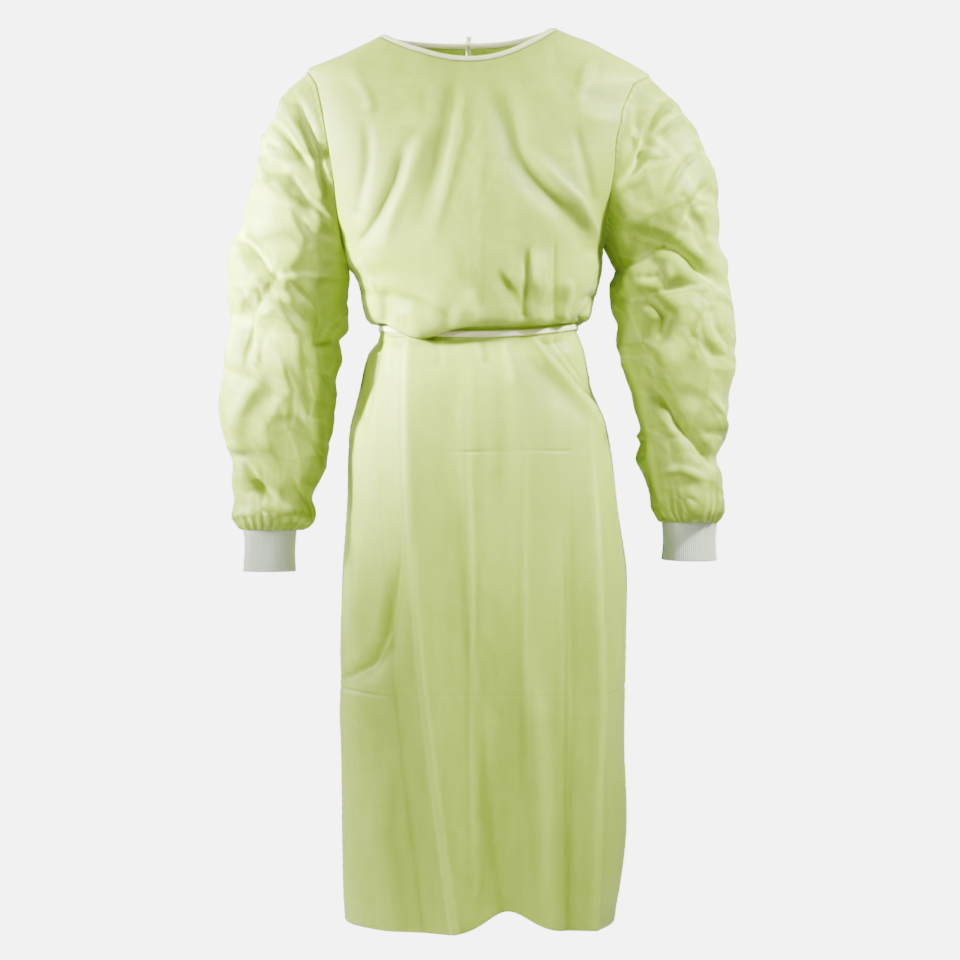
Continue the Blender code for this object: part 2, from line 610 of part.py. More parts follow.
def add_front():
    rows = panel_row_count()
    shares = np.repeat(np.linspace(0.0, 1.0, COLUMNS + 1)[None, :], rows, axis=0)
    facing, run = panel_places(shares, False)
    outer = body_point(body_turn(facing, False), run)
    normal = body_normal(body_turn(facing, False), run)
    part_shoulders(outer, shares, False)
    part_seams(outer, normal, 0, -1, False)
    part_seams(outer, normal, -1, 1, False)
    add_wall("front", outer, outer - normal * CLOTH, False, NONWOVEN)


def panel_row_count():
    return ARMHOLE_STEPS + 1 + sum(span.steps for span in BELOW_ARMHOLE)


def lap_angle(run):
    """How far past the centre back each back panel's edge lies."""
    share = ease((run - LAP_START_RUN) / (LAP_FULL_RUN - LAP_START_RUN))
    return LAP_NECK_TURN + (LAP_TURN - LAP_NECK_TURN) * share


def lap_lift(facing, run):
    """How far the left back panel is moved out where it lies over the right one."""
    ramp = ease((lap_angle(run) + LIFT_RAMP_TURN - np.abs(facing)) / LIFT_RAMP_TURN)
    return LAP_LIFT * ramp * ease((run - BINDING_RUN) / (LAP_START_RUN - BINDING_RUN))


def back_shares(side):
    """Shares of a back panel's columns, row by row, from its side seam to its edge past the centre back."""
    rows = panel_row_count()
    down = np.clip(np.arange(rows) / ARMHOLE_STEPS, 0.0, 1.0)[:, None]
    neck_middle = sum(NECK_SHARES) / 2.0
    centre = neck_middle + (0.5 - neck_middle) * down
    grown = ease((down - LAP_GROWS_FROM) / LAP_GROWS_OVER)
    end = centre - side * (LAP_NECK_SHARE + (LAP_SHARE - LAP_NECK_SHARE) * grown)
    shoulder_columns = LEFT_SHOULDER_COLUMNS if side > 0 else RIGHT_SHOULDER_COLUMNS
    start, corner = (1.0, NECK_SHARES[1]) if side > 0 else (0.0, NECK_SHARES[0])
    near = np.linspace(start, corner, shoulder_columns + 1)[None, :].repeat(rows, axis=0)
    far = corner + (end - corner) * np.arange(1, BACK_NECK_COLUMNS + 1) / BACK_NECK_COLUMNS
    return np.hstack([near, far])


def add_back(side, name):
    shares = back_shares(side)
    facing, run = panel_places(shares, True)
    outer = body_point(body_turn(facing, True), run)
    normal = body_normal(body_turn(facing, True), run)
    if side > 0:
        outer = outer + normal * lap_lift(facing, run)[..., None]
    part_shoulders(outer, shares, True)
    part_seams(outer, normal, 0, side, True)
    add_wall(name, outer, outer - normal * CLOTH, False, NONWOVEN)


def sleeve_runs(side):
    """Runs of a sleeve's rows: every table row, with rows between where they lie far apart."""
    marks = [cross.run for cross in SLEEVE[side]]
    runs = [float(marks[0])]
    for start, end in zip(marks, marks[1:]):
        steps = max(1, round((end - start) / SLEEVE_STEP))
        runs += list(np.linspace(start, end, steps + 1)[1:])
    return np.array(runs)


def add_sleeve(side, name):
    runs = sleeve_runs(side)
    around = np.arange(2 * ARMHOLE_STEPS) * math.pi / ARMHOLE_STEPS
    turn, run = np.meshgrid(around, runs)
    outer = sleeve_point(side, turn, run)
    normal = sleeve_normal(side, turn, run)
    _, outward = LOOPS[side]
    outer[0] += np.array(SLEEVE_WAY[side]) * SEAM_GAP / 2.0
    normal[0] = outward
    flat = outer[-1] - outer[-1].mean(axis=0)
    flat[:, 2] = 0.0
    normal[-1] = unit(flat)
    add_wall(name, outer, outer - normal * CLOTH, True, NONWOVEN)


def add_cuff(side, name):
    """A tube of rib knit under the sleeve's end, with ribs raised on its outer face."""
    end = SLEEVE[side][-1]
    columns = 2 * RIBS
    around = np.arange(columns) * 2.0 * math.pi / columns
    levels = np.array((0.0, 0.5, 1.0))
    rows_outer = []
    rows_inner = []
    for level in levels:
        half_x = abs(end.outer - end.inner) / 2.0 - CUFF_TAPER * level
        half_y = end.half_depth - CUFF_TAPER * level
        middle_x = (end.outer + end.inner) / 2.0
        lean = (end.z_outer - end.z_inner) / 2.0 * np.cos(around)
        z_top = (end.z_outer + end.z_inner) / 2.0 + lean - SEAM_GAP
        z = z_top - CUFF_LENGTH[side] * level
        rib = RIB_HEIGHT * (np.arange(columns) % 2) * (level > 0)
        inner_inset = np.full(columns, RIB_HEIGHT + KNIT)
        for rows, inset in ((rows_outer, RIB_HEIGHT - rib), (rows_inner, inner_inset)):
            x = middle_x + side * (half_x - inset) * np.cos(around)
            y = end.middle - (half_y - inset) * np.sin(around)
            rows.append(np.stack([x, y, z], axis=-1))
    add_wall(name, np.array(rows_outer), np.array(rows_inner), True, RIB_KNIT)


def add_strip_round(name, turns, low_run, high_run, proud, under):
    """A tape on the body cloth's own points, moved out, round the body but for a gap at the centre back."""
    turn, run = np.meshgrid(turns, np.array((low_run, high_run)))
    points = body_point(turn, run)
    normal = body_normal(turn, run)
    lifted = lap_lift(math.pi - np.abs(turn), run)[..., None]
    outer = points + normal * (proud + lifted)
    inner = points + normal * (under + lifted)
    add_wall(name, outer, inner, False, WHITE_TAPE)


def neck_facing(shares):
    return np.interp(shares, NECK_SHARES, (-QUARTER, QUARTER))


def add_neck_binding():
    """The binding has its points where the panels' neck edges have theirs."""
    right_back = neck_facing(back_shares(-1)[0, RIGHT_SHOULDER_COLUMNS + 1:])
    left_back = neck_facing(back_shares(1)[0, LEFT_SHOULDER_COLUMNS + 1:])
    front = neck_facing(np.linspace(0.0, 1.0, COLUMNS + 1)[RIGHT_SHOULDER_COLUMNS:-LEFT_SHOULDER_COLUMNS])
    turns = np.concatenate([-math.pi - right_back[::-1], front, math.pi - left_back])
    lower = BINDING_RUN - SEAM_GAP / 2.0
    add_strip_round("neck_binding", turns, NECK_RUN, lower, BINDING_PROUD, -BINDING_UNDER)


def add_waist_tie():
    half = TAPE_WIDTH / 2.0
    turns = np.linspace(-math.pi + TIE_GAP_TURN, math.pi - TIE_GAP_TURN, RING_COLUMNS + 1)
    add_strip_round("waist_tie", turns, TAPE_RUN - half, TAPE_RUN + half, TIE_CLEAR + TAPE, TIE_CLEAR)


def tape_end(name, turns, runs, out):
    """A narrow tape that hangs on the back cloth, as a wall on the cloth's points moved out."""
    sides = np.array((-0.5, 0.5)) * END_WIDTH
    turn = np.repeat(turns[:, None], 2, axis=1)
    run = np.repeat(runs[:, None], 2, axis=1)
    middle = body_point(turn, run)
    normal = body_normal(turn, run)
    points = middle + normal * out
    points[..., 0] += sides
    return add_wall(name, points + normal * TAPE, points, False, WHITE_TAPE)


def add_knot(name, middle):
    """A rounded knot of tape."""
    bpy.ops.mesh.primitive_uv_sphere_add(segments=KNOT_SEGMENTS, ring_count=KNOT_RINGS, radius=0.5)
    made = bpy.context.object
    made.name = made.data.name = name
    for vertex in made.data.vertices:
        for axis in range(3):
            vertex.co[axis] = (vertex.co[axis] * KNOT_SIZE[axis] + middle[axis]) * MM
    made.data.materials.append(material(WHITE_TAPE))
    made.data.shade_smooth()
    return made


def join_to(knot, ends):
    """Fuses tape ends to their knot, so that the tied tape is one body."""
    for end in ends:
        union = knot.modifiers.new("join", "BOOLEAN")
        union.operation = "UNION"
        union.solver = "EXACT"
        union.object = end
        end.hide_render = True
        end.display_type = "WIRE"


def add_neck_tie():
    """The tied ends of the neck binding: a knot behind its gap, one stub up and one end down the back."""
    seat = body_point(np.array(math.pi), np.array(BINDING_RUN))
    out = BINDING_PROUD + SEAM_GAP + KNOT_SIZE[1] / 2.0 - NECK_KNOT_NEARER
    knot = add_knot("neck_tie", seat + np.array((0.0, out, NECK_KNOT_RISE)))
    turns = np.full(NECK_END_RUNS.shape, math.pi)
    down = tape_end("neck_end", turns, NECK_END_RUNS, LAP_LIFT + NECK_END_CLEAR)
    rise, shift = np.meshgrid(np.array((0.0, 0.5, 1.0)), np.array((-0.5, 0.5)), indexing="ij")
    offsets = (shift * END_WIDTH, np.full(rise.shape, out - STUB_SUNK), NECK_KNOT_RISE + NECK_STUB * rise)
    inner = seat + np.stack(offsets, axis=-1)
    stub = add_wall("neck_stub", inner + np.array((0.0, TAPE, 0.0)), inner, False, WHITE_TAPE)
    join_to(knot, (down, stub))


def add_waist_knot():
    """The tied ends of the waist tape at the centre back."""
    seat = body_point(np.array(math.pi), np.array(TAPE_RUN))
    out = LAP_LIFT + TIE_CLEAR + TAPE + SEAM_GAP + KNOT_SIZE[1] / 2.0
    knot = add_knot("waist_knot", seat + np.array((0.0, out, 0.0)))
    ends = []
    for number, end in enumerate(WAIST_ENDS):
        runs = np.linspace(TAPE_RUN + WAIST_END_START, TAPE_RUN + end.length, WAIST_END_ROWS)
        turns = math.pi + np.linspace(end.turn_knot, end.turn_tip, WAIST_END_ROWS)
        ends.append(tape_end(f"waist_end_{number}", turns, runs, LAP_LIFT + WAIST_END_CLEAR))
    join_to(knot, ends)


def main():
    clear_scene()
    for side in (-1, 1):
        LOOPS[side] = armhole_loop(side)
    add_front()
    add_back(-1, "back_right")
    add_back(1, "back_left")
    add_sleeve(-1, "sleeve_right")
    add_sleeve(1, "sleeve_left")
    add_cuff(-1, "cuff_right")
    add_cuff(1, "cuff_left")
    add_neck_binding()
    add_neck_tie()
    add_waist_tie()
    add_waist_knot()


main()
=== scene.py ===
"""A disposable isolation gown of thin yellow nonwoven, as it hangs on a general figure with nobody in it.

The wearer's right side is at -X and the front faces -Y. Tables of sizes are in millimetres.
"""
import math
from collections import namedtuple

import bmesh
import bpy
import numpy as np
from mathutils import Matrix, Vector


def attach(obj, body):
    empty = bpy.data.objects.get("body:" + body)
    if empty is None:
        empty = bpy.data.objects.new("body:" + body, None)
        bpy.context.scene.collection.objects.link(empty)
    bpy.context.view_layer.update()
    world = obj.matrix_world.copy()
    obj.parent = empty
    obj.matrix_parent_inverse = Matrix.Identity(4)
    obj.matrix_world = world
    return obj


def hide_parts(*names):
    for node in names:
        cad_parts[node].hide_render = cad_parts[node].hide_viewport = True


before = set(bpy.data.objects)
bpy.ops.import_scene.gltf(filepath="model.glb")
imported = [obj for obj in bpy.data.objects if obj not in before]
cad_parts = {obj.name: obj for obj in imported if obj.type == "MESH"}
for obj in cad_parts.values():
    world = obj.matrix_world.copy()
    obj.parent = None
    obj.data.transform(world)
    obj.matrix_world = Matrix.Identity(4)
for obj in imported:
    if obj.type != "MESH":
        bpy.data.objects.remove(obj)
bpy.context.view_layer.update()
MM = 0.001


# The studio. The gown hangs over a round pale floor, before an even pale grey that gives little light itself.
# One key light rakes the front from the left, so that the folds show. One behind at the left makes the thin
# sleeve glow, two narrow ones touch the sleeves, and weak ones fill from behind and from the front.
CAMERA_AWAY = 4.0
CAMERA_HEIGHT = -0.567
SEEN_WIDTH = 1.277
SENSOR = 36.0
camera_data = bpy.data.cameras.new("camera")
camera_data.sensor_width = SENSOR
camera_data.lens = SENSOR * CAMERA_AWAY / SEEN_WIDTH
camera_data.clip_end = 50.0
camera = bpy.data.objects.new("camera", camera_data)
camera.location = (0.0, -CAMERA_AWAY, CAMERA_HEIGHT)
camera.rotation_euler = (math.radians(90), 0.0, 0.0)
bpy.context.scene.collection.objects.link(camera)
bpy.context.scene.camera = camera


def linear(hex_colour):
    """An sRGB hex colour as linear red, green, blue and alpha."""
    values = [int(hex_colour[i:i + 2], 16) / 255.0 for i in (1, 3, 5)]
    return tuple(v / 12.92 if v <= 0.04045 else ((v + 0.055) / 1.055) ** 2.4 for v in values) + (1.0,)


def add_node(tree, kind, settings=None, links=None, numbered=None, **values):
    """A node with its settings, the links to its inputs, and input values by socket number and by name."""
    node = tree.nodes.new(kind)
    for name, value in (settings or {}).items():
        setattr(node, name, value)
    for number, value in (numbered or {}).items():
        node.inputs[number].default_value = value
    for name, value in values.items():
        node.inputs[name.replace("_", " ")].default_value = value
    for socket, source in (links or {}).items():
        tree.links.new(source, node.inputs[socket])
    return node


def new_material(name, colour, roughness):
    """A material with its Principled shader, whose constant values stand on the shader itself."""
    made = bpy.data.materials.new(name)
    made.use_nodes = True
    shader = made.node_tree.nodes["Principled BSDF"]
    shader.inputs["Base Color"].default_value = linear(colour)
    shader.inputs["Roughness"].default_value = roughness
    return made, made.node_tree, shader


def mesh_object(name, vertices, faces, material):
    """A smooth-shaded mesh object in metres at the origin, from points in millimetres."""
    mesh = bpy.data.meshes.new(name)
    mesh.from_pydata((np.asarray(vertices, dtype=float).reshape(-1, 3) * MM).tolist(), [], faces)
    mesh.materials.append(material)
    mesh.shade_smooth()
    made = bpy.data.objects.new(name, mesh)
    bpy.context.scene.collection.objects.link(made)
    return made


# Matte white paper, with no shine and a little light of its own, so that it stays as pale as the air behind
FLOOR_HEIGHT = -1420.0
FLOOR_RADIUS = 1300.0
FLOOR_CORNERS = 96
FLOOR_PAPER, _, floor_shader = new_material("matte white floor paper", "#F4F4F4", 0.9)
floor_shader.inputs["Emission Color"].default_value = linear("#F4F4F4")
floor_shader.inputs["Emission Strength"].default_value = 0.5
floor_turns = np.arange(FLOOR_CORNERS) * 2.0 * math.pi / FLOOR_CORNERS
floor_points = [(FLOOR_RADIUS * math.cos(a), FLOOR_RADIUS * math.sin(a), FLOOR_HEIGHT) for a in floor_turns]
floor = mesh_object("floor", floor_points, [tuple(range(FLOOR_CORNERS))], FLOOR_PAPER)

# Places, aims and sizes in metres, spreads in degrees
Lamp = namedtuple("Lamp", "name place aim size watts spread")
LAMPS = (
    Lamp("left rear", (-2.3, 1.5, 0.6), (0.0, 0.0, -0.3), 0.9, 170.0, 180),
    Lamp("right rear", (2.2, 1.7, 0.7), (0.0, 0.0, -0.4), 1.2, 45.0, 180),
    Lamp("left key", (-3.1, -2.1, 0.55), (0.0, 0.0, -0.4), 0.45, 122.0, 180),
    Lamp("left side", (-2.6, -0.6, 0.6), (-0.4, 0.0, -0.24), 0.3, 11.0, 16),
    Lamp("right top", (1.9, -0.9, 1.5), (0.33, 0.0, -0.24), 0.5, 9.5, 24),
    Lamp("front fill", (0.8, -3.8, -0.2), (0.0, 0.0, -0.62), 2.0, 32.0, 180),
)
for lamp in LAMPS:
    light = bpy.data.lights.new(lamp.name, "AREA")
    light.shape = "DISK"
    light.size = lamp.size
    light.energy = lamp.watts
    light.spread = math.radians(lamp.spread)
    stand = bpy.data.objects.new(lamp.name, light)
    stand.location = lamp.place
    stand.rotation_euler = (Vector(lamp.aim) - Vector(lamp.place)).to_track_quat("-Z", "Y").to_euler()
    bpy.context.scene.collection.objects.link(stand)
world = bpy.data.worlds.new("studio air")
world.use_nodes = True
air_tree = world.node_tree
air_light = air_tree.nodes["Background"]
air_light.inputs["Color"].default_value = linear("#F6F8FA")
air_light.inputs["Strength"].default_value = 0.16
air_seen = add_node(air_tree, "ShaderNodeBackground", Color=linear("#F2F2F2"), Strength=7.0)
seen_ray = add_node(air_tree, "ShaderNodeLightPath")
air = add_node(air_tree, "ShaderNodeMixShader",
               links={"Fac": seen_ray.outputs["Is Camera Ray"], 1: air_light.outputs["Background"],
                      2: air_seen.outputs["Background"]})
air_tree.links.new(air.outputs["Shader"], air_tree.nodes["World Output"].inputs["Surface"])
bpy.context.scene.world = world


# The front panel. It is cut in one piece from one layer of spun-bonded nonwoven, and hangs from the shoulder
# seams. The waist tape gathers it, so that it blouses out above the tape and falls straight below it. The
# drag folds, the creases pressed in by its packing and the long folds of the skirt are in its outer face.
Ring = namedtuple("Ring", "run right left front back z_right z_left z_front z_back square")
BODY = (
    Ring(0, -129, 98, -62, 62, 25, 36, -12, 22, 2.0),
    Ring(6, -134, 103, -64, 65, 22, 33, -18, 16, 2.0),
    Ring(28, -181, 160, -73, 77, -2, 8, -40, -10, 2.05),
    Ring(52, -229, 226, -83, 88, -24, -32, -66, -42, 2.1),
    Ring(100, -229, 222, -100, 103, -72, -74, -115, -98, 2.2),
    Ring(180, -216, 208, -116, 113, -160, -150, -195, -185, 2.3),
    Ring(260, -180, 165, -123, 113, -277, -249, -275, -275, 2.3),
    Ring(295, -162, 161, -124, 110, -302, -296, -302, -302, 2.3),
    Ring(330, -154, 148, -123, 108, -338, -336, -340, -338, 2.2),
    Ring(346, -150, 144, -121, 106, -352, -350, -356, -352, 2.2),
    Ring(353, -144, 139, -115, 102, -358, -356, -365, -358, 2.2),
    Ring(357, -138, 133, -107, 98, -360, -358, -368, -361, 2.2),
    Ring(360, -133, 129, -102, 94, -361, -359, -371, -363, 2.2),
    Ring(374, -133, 129, -102, 94, -373, -371, -385, -375, 2.2),
    Ring(382, -138, 132, -106, 97, -381, -379, -392, -383, 2.2),
    Ring(398, -149, 140, -113, 103, -398, -397, -408, -400, 2.3),
    Ring(436, -160, 149, -124, 112, -438, -438, -444, -440, 2.3),
    Ring(496, -173, 169, -132, 120, -500, -500, -502, -500, 2.4),
    Ring(596, -179, 182, -141, 130, -600, -600, -600, -600, 2.4),
    Ring(700, -184, 195, -147, 138, -704, -704, -704, -704, 2.4),
    Ring(860, -186, 192, -151, 145, -864, -864, -864, -864, 2.4),
    Ring(1010, -183, 194, -152, 148, -1014, -1014, -1014, -1014, 2.4),
    Ring(1144, -180, 179, -150, 148, -1148, -1148, -1148, -1148, 2.4),
)
BINDING_RUN = 6.0
SHOULDER_RUN = 52.0
UNDERARM_RUN = 260.0
TAPE_RUN = 367.0
HEM_RUN = 1144.0
QUARTER = math.pi / 2.0

# The armhole seam as it is seen from the front, from the shoulder tip to the underarm, by side
ARMHOLE = {
    -1: ((-24, 229), (-45, 215), (-85, 206), (-129, 198), (-161, 193), (-206, 189), (-277, 180)),
    1: ((-32, 226), (-45, 203), (-80, 187), (-121, 178), (-160, 176), (-193, 170), (-249, 165)),
}

# A fold follows a path seen from the front or the back. Depth is above zero for a ridge and below zero for a
# trough. Left and right are its reach towards -X and +X where its path runs down, and start and end its
# strength at the path's ends. A pressed fold has straight flanks, a soft one rounded.
Fold = namedtuple("Fold", "path depth left right start end pressed", defaults=(False,))
SKIRT_CREASE = ((-93, -385), (-94, -481), (-85, -646), (-73, -797), (-57, -942), (-29, -1165))
FRONT_FOLDS = (
    # Drag folds that fan from the neck to the underarms
    Fold(((13, -35), (33, -96), (44, -146), (70, -182), (104, -217), (141, -259)), -4.4, 18, 22, 0.1, 0.6),
    Fold(((30, -62), (46, -132), (64, -166), (100, -205), (131, -240)), -1.4, 8, 11, 0.0, 0.5),
    Fold(((55, -129), (100, -180), (132, -206), (157, -250)), 3, 14, 16, 0.1, 0.5),
    Fold(((66, -140), (102, -176), (130, -200), (152, -238)), 1.6, 7, 5, 0.0, 0.6, True),
    Fold(((-37, -25), (-43, -96), (-57, -162), (-77, -227)), -3, 18, 18, 0.1, 0.3),
    Fold(((-26, -48), (-30, -118), (-44, -180), (-60, -250)), 2.2, 15, 9, 0.0, 0.3),
    Fold(((-94, -125), (-110, -180), (-128, -217), (-148, -247)), -3.6, 15, 18, 0.1, 0.6),
    Fold(((-98, -138), (-113, -186), (-133, -222), (-156, -250)), -1.8, 5, 6, 0.0, 0.7, True),
    Fold(((-68, -101), (-114, -214), (-124, -261)), 3, 14, 16, 0.1, 0.4),
    Fold(((-150, -90), (-146, -150), (-160, -214)), -2.6, 11, 12, 0.1, 0.6),
    Fold(((128, -96), (134, -140), (148, -196)), -2.8, 11, 10, 0.1, 0.6),
    Fold(((-168, -34), (-150, -62), (-141, -92)), 2.0, 10, 10, 0.3, 0.1),
    Fold(((150, -22), (134, -56), (128, -84)), 2.2, 11, 9, 0.3, 0.1),
    # The bloused cloth above the waist tape
    Fold(((61, -257), (62, -300), (59, -356)), -2.4, 15, 9, 0.0, 1),
    Fold(((61, -262), (61, -300), (58, -356)), -2.0, 5, 5, 0.0, 1, True),
    Fold(((80, -262), (82, -356)), 2.8, 14, 14, 0.0, 1),
    Fold(((99, -250), (97, -310), (99, -356)), -1.8, 5, 5, 0.0, 1, True),
    Fold(((22, -292), (50, -356)), -2, 12, 12, 0.0, 1),
    Fold(((27, -298), (48, -330), (62, -356)), -2.2, 7, 7, 0.1, 0.8),
    Fold(((118, -300), (112, -356)), 3.2, 10, 8, 0.1, 1),
    Fold(((134, -330), (148, -324), (132, -356)), -3.4, 6, 6, 0.3, 0.8),
    Fold(((-124, -315), (-126, -356)), -4, 10, 12, 0.1, 1),
    Fold(((-157, -281), (-142, -303), (-134, -340)), 2.6, 7, 7, 0.4, 0.2, True),
    Fold(((-170, -314), (-110, -327), (-41, -347)), -2.8, 13, 10, 0.2, 0.2),
    Fold(((-96, -330), (-70, -344), (-40, -356)), -1.8, 10, 9, 0.0, 0.8),
    Fold(((-16, -316), (2, -356)), 1.6, 12, 10, 0.0, 1),
    # Long pressed folds of the skirt
    Fold(SKIRT_CREASE, 15, 42, 60, 0.5, 1, True),
    Fold(((-98, -392), (-99, -470), (-93, -560), (-86, -646), (-78, -760)), -1.4, 8, 8, 0.8, 0.1),
    Fold(((140, -500), (145, -560), (146, -729), (148, -859), (138, -1168)), 12, 28, 42, 0.2, 1, True),
    Fold(((60, -384), (112, -438), (157, -498)), 6, 15, 15, 1, 0.3),
    Fold(((64, -382), (118, -434), (158, -484)), 2.6, 4, 6, 1, 0.4, True),
    Fold(((82, -384), (128, -438), (160, -470)), -5, 12, 12, 1, 0.3),
    Fold(((100, -384), (144, -440), (168, -498), (162, -524)), -3.2, 6, 8, 0.8, 0.4, True),
    Fold(((-138, -384), (-160, -477), (-152, -525)), -6, 15, 15, 0.8, 0.2),
    Fold(((-134, -386), (-148, -440), (-157, -500)), -2.8, 5, 7, 1, 0.2, True),
    Fold(((-94, -648), (-122, -778), (-146, -811), (-173, -825)), -5, 20, 20, 0.1, 0.4),
    Fold(((-96, -650), (-120, -760), (-142, -803), (-172, -822)), -2.6, 8, 5, 0.1, 0.5, True),
    Fold(((-172, -520), (-176, -640), (-174, -778)), -4.2, 12, 10, 0.2, 0.1),
    Fold(((18, -700), (30, -900), (36, -1165)), -4.6, 42, 42, 0.0, 1),
    Fold(((70, -760), (82, -960), (92, -1165)), 5, 24, 24, 0.0, 1),
    Fold(((-120, -900), (-128, -1020), (-112, -1165)), 3.2, 26, 18, 0.0, 1),
    Fold(((-30, -420), (-24, -520), (-26, -640)), 1.4, 20, 24, 0.2, 0.0),
    Fold(((24, -400), (30, -500), (22, -620)), -1.6, 18, 20, 0.6, 0.0),
    Fold(((-58, -384), (-54, -404), (-56, -426)), -1.3, 10, 8, 1, 0.0),
    Fold(((4, -386), (8, -404), (6, -420)), -1.6, 9, 12, 1, 0.0),
    Fold(((30, -386), (38, -416), (44, -450)), 1.4, 10, 8, 1, 0.0),
    Fold(((-112, -386), (-118, -412), (-120, -438)), 1.8, 7, 7, 1, 0.0),
    Fold(SKIRT_CREASE, 1.3, 9, 9, 0.6, 1),
    Fold(((143, -470), (145, -560), (146, -729), (148, -859), (138, -1168)), 1.3, 9, 9, 0.3, 1),
    # Creases pressed in by the packing, across and down the panel
    Fold(((-90, -528), (-30, -530), (60, -529), (124, -528)), -0.35, 4, 4, 0.3, 0.4, True),
    Fold(((-31, -530), (4, -531)), -0.9, 3, 3, 0.2, 0.3, True),
    Fold(((80, -529), (117, -530)), -0.7, 3, 3, 0.3, 0.2, True),
    Fold(((-117, -845), (-60, -842), (150, -843)), -0.25, 4, 4, 1, 1, True),
    Fold(((-184, -840), (-117, -845)), -1.0, 4, 4, 1, 0.2, True),
    Fold(((150, -843), (192, -839)), -0.9, 4, 4, 0.2, 1, True),
    Fold(((-14, -420), (-10, -700), (-6, -1100)), 0.8, 9, 9, 0.2, 0.6, True),
    Fold(((62, -470), (58, -700), (62, -980)), 0.8, 8, 10, 0.2, 0.4, True),
    Fold(((110, -560), (112, -800), (108, -1120)), -0.7, 8, 8, 0.2, 0.4, True),
    Fold(((-2, -60), (-4, -200), (-2, -330)), 0.6, 8, 8, 0.2, 0.4, True),
)

BACK_FOLDS = (
    Fold(((52, -70), (100, -155), (146, -245)), -6, 18, 18, 0.1, 0.6),
    Fold(((60, -96), (108, -178), (150, -250)), -2.8, 6, 5, 0.0, 0.6, True),
    Fold(((30, -110), (74, -190), (120, -262)), 3.4, 14, 16, 0.0, 0.5),
    Fold(((-62, -82), (-112, -165), (-152, -252)), -7, 16, 18, 0.1, 0.6),
    Fold(((-74, -112), (-120, -190), (-158, -256)), -2.8, 5, 7, 0.0, 0.7, True),
    Fold(((-38, -120), (-80, -205), (-118, -270)), 3.2, 16, 14, 0.0, 0.5),
    Fold(((-150, -70), (-148, -140), (-164, -214)), -2.8, 11, 12, 0.1, 0.6),
    Fold(((140, -76), (140, -140), (152, -200)), -2.6, 11, 10, 0.1, 0.6),
    Fold(((88, -200), (84, -356)), 4, 16, 16, 0.1, 1),
    Fold(((112, -262), (104, -356)), -6, 12, 12, 0.1, 1),
    Fold(((108, -272), (101, -356)), -3, 4, 5, 0.0, 1, True),
    Fold(((60, -306), (58, -356)), -2, 8, 9, 0.1, 1),
    Fold(((34, -278), (38, -356)), 1.8, 12, 10, 0.1, 1),
    Fold(((2, -262), (12, -356)), -3.2, 7, 9, 0.1, 1),
    Fold(((-34, -316), (-30, -356)), 1.6, 10, 12, 0.1, 1),
    Fold(((-72, -280), (-70, -356)), -5, 12, 12, 0.1, 1),
    Fold(((-76, -290), (-73, -356)), -2.8, 4, 4, 0.0, 1, True),
    Fold(((-112, -270), (-106, -356)), -6, 12, 12, 0.1, 1),
    Fold(((-92, -276), (-89, -356)), 3.0, 9, 9, 0.1, 1),
    Fold(((-138, -300), (-130, -356)), 3.0, 9, 9, 0.1, 1),
    Fold(((136, -296), (130, -356)), 3.0, 9, 9, 0.1, 1),
    Fold(((92, -384), (100, -600), (106, -880), (100, -1165)), 11, 52, 42, 0.4, 1, True),
    Fold(((-88, -384), (-92, -560), (-100, -860), (-108, -1165)), 10, 40, 52, 0.4, 1, True),
    Fold(((130, -384), (150, -425), (160, -465)), -4, 12, 12, 1, 0.1),
    Fold(((-126, -384), (-148, -470), (-158, -560)), -6, 15, 15, 1, 0.2),
    Fold(((60, -384), (66, -430), (64, -500)), -3.2, 9, 8, 1, 0.0),
    Fold(((36, -384), (34, -420), (38, -470)), 2.6, 9, 9, 1, 0.0),
    Fold(((-56, -384), (-60, -436), (-56, -510)), -3.2, 8, 9, 1, 0.0),
    Fold(((-30, -384), (-28, -420), (-32, -480)), 2.6, 9, 9, 1, 0.0),
    Fold(((118, -384), (132, -432), (150, -480)), 2.6, 5, 7, 1, 0.2, True),
    Fold(((-112, -384), (-128, -440), (-146, -500)), 2.6, 7, 5, 1, 0.2, True),
    Fold(((-40, -700), (-44, -900), (-36, -1165)), -3.2, 26, 30, 0.0, 1),
    Fold(((48, -760), (44, -960), (52, -1165)), 3.0, 24, 28, 0.0, 1),
    Fold(((-190, -529), (190, -529)), -0.9, 3.2, 3.2, 0.8, 0.8, True),
    Fold(((-192, -843), (192, -842)), -0.9, 3.4, 3.4, 1, 1, True),
)
# Painted shade: where the cloth would lie double, along the folds to the hips, at the sides and under the
# arms, its colour is painted a darker, deeper lime. Each is a path like a fold's, with the share of painted
# shade as its depth.
FRONT_DOUBLED_SHADE = (
    Fold(((56, -374), (112, -438), (162, -500)), 0.9, 12, 9, 1, 0.5),
    Fold(((-134, -380), (-150, -430), (-160, -500)), 0.8, 10, 10, 1, 0.2),
    Fold(((-178, -560), (-184, -700), (-184, -840)), 0.5, 8, 10, 0.2, 0.6),
    Fold(((-96, -680), (-124, -780), (-148, -812), (-176, -826)), 0.5, 16, 8, 0.1, 0.6),
    Fold(((24, -296), (46, -330), (64, -366)), 0.7, 7, 9, 0.0, 1),
    Fold(((99, -250), (99, -360)), 0.4, 8, 26, 0.2, 0.8),
    Fold(((-132, -262), (-100, -346)), 0.75, 44, 54, 0.3, 0.8),
    Fold(((-200, -120), (-190, -200), (-180, -262)), 0.6, 10, 26, 0.1, 1),
    Fold(((180, -110), (168, -190), (162, -255)), 0.6, 24, 10, 0.1, 1),
    Fold(((158, -520), (190, -700), (190, -1160)), 0.35, 34, 14, 0.4, 0.8),
)
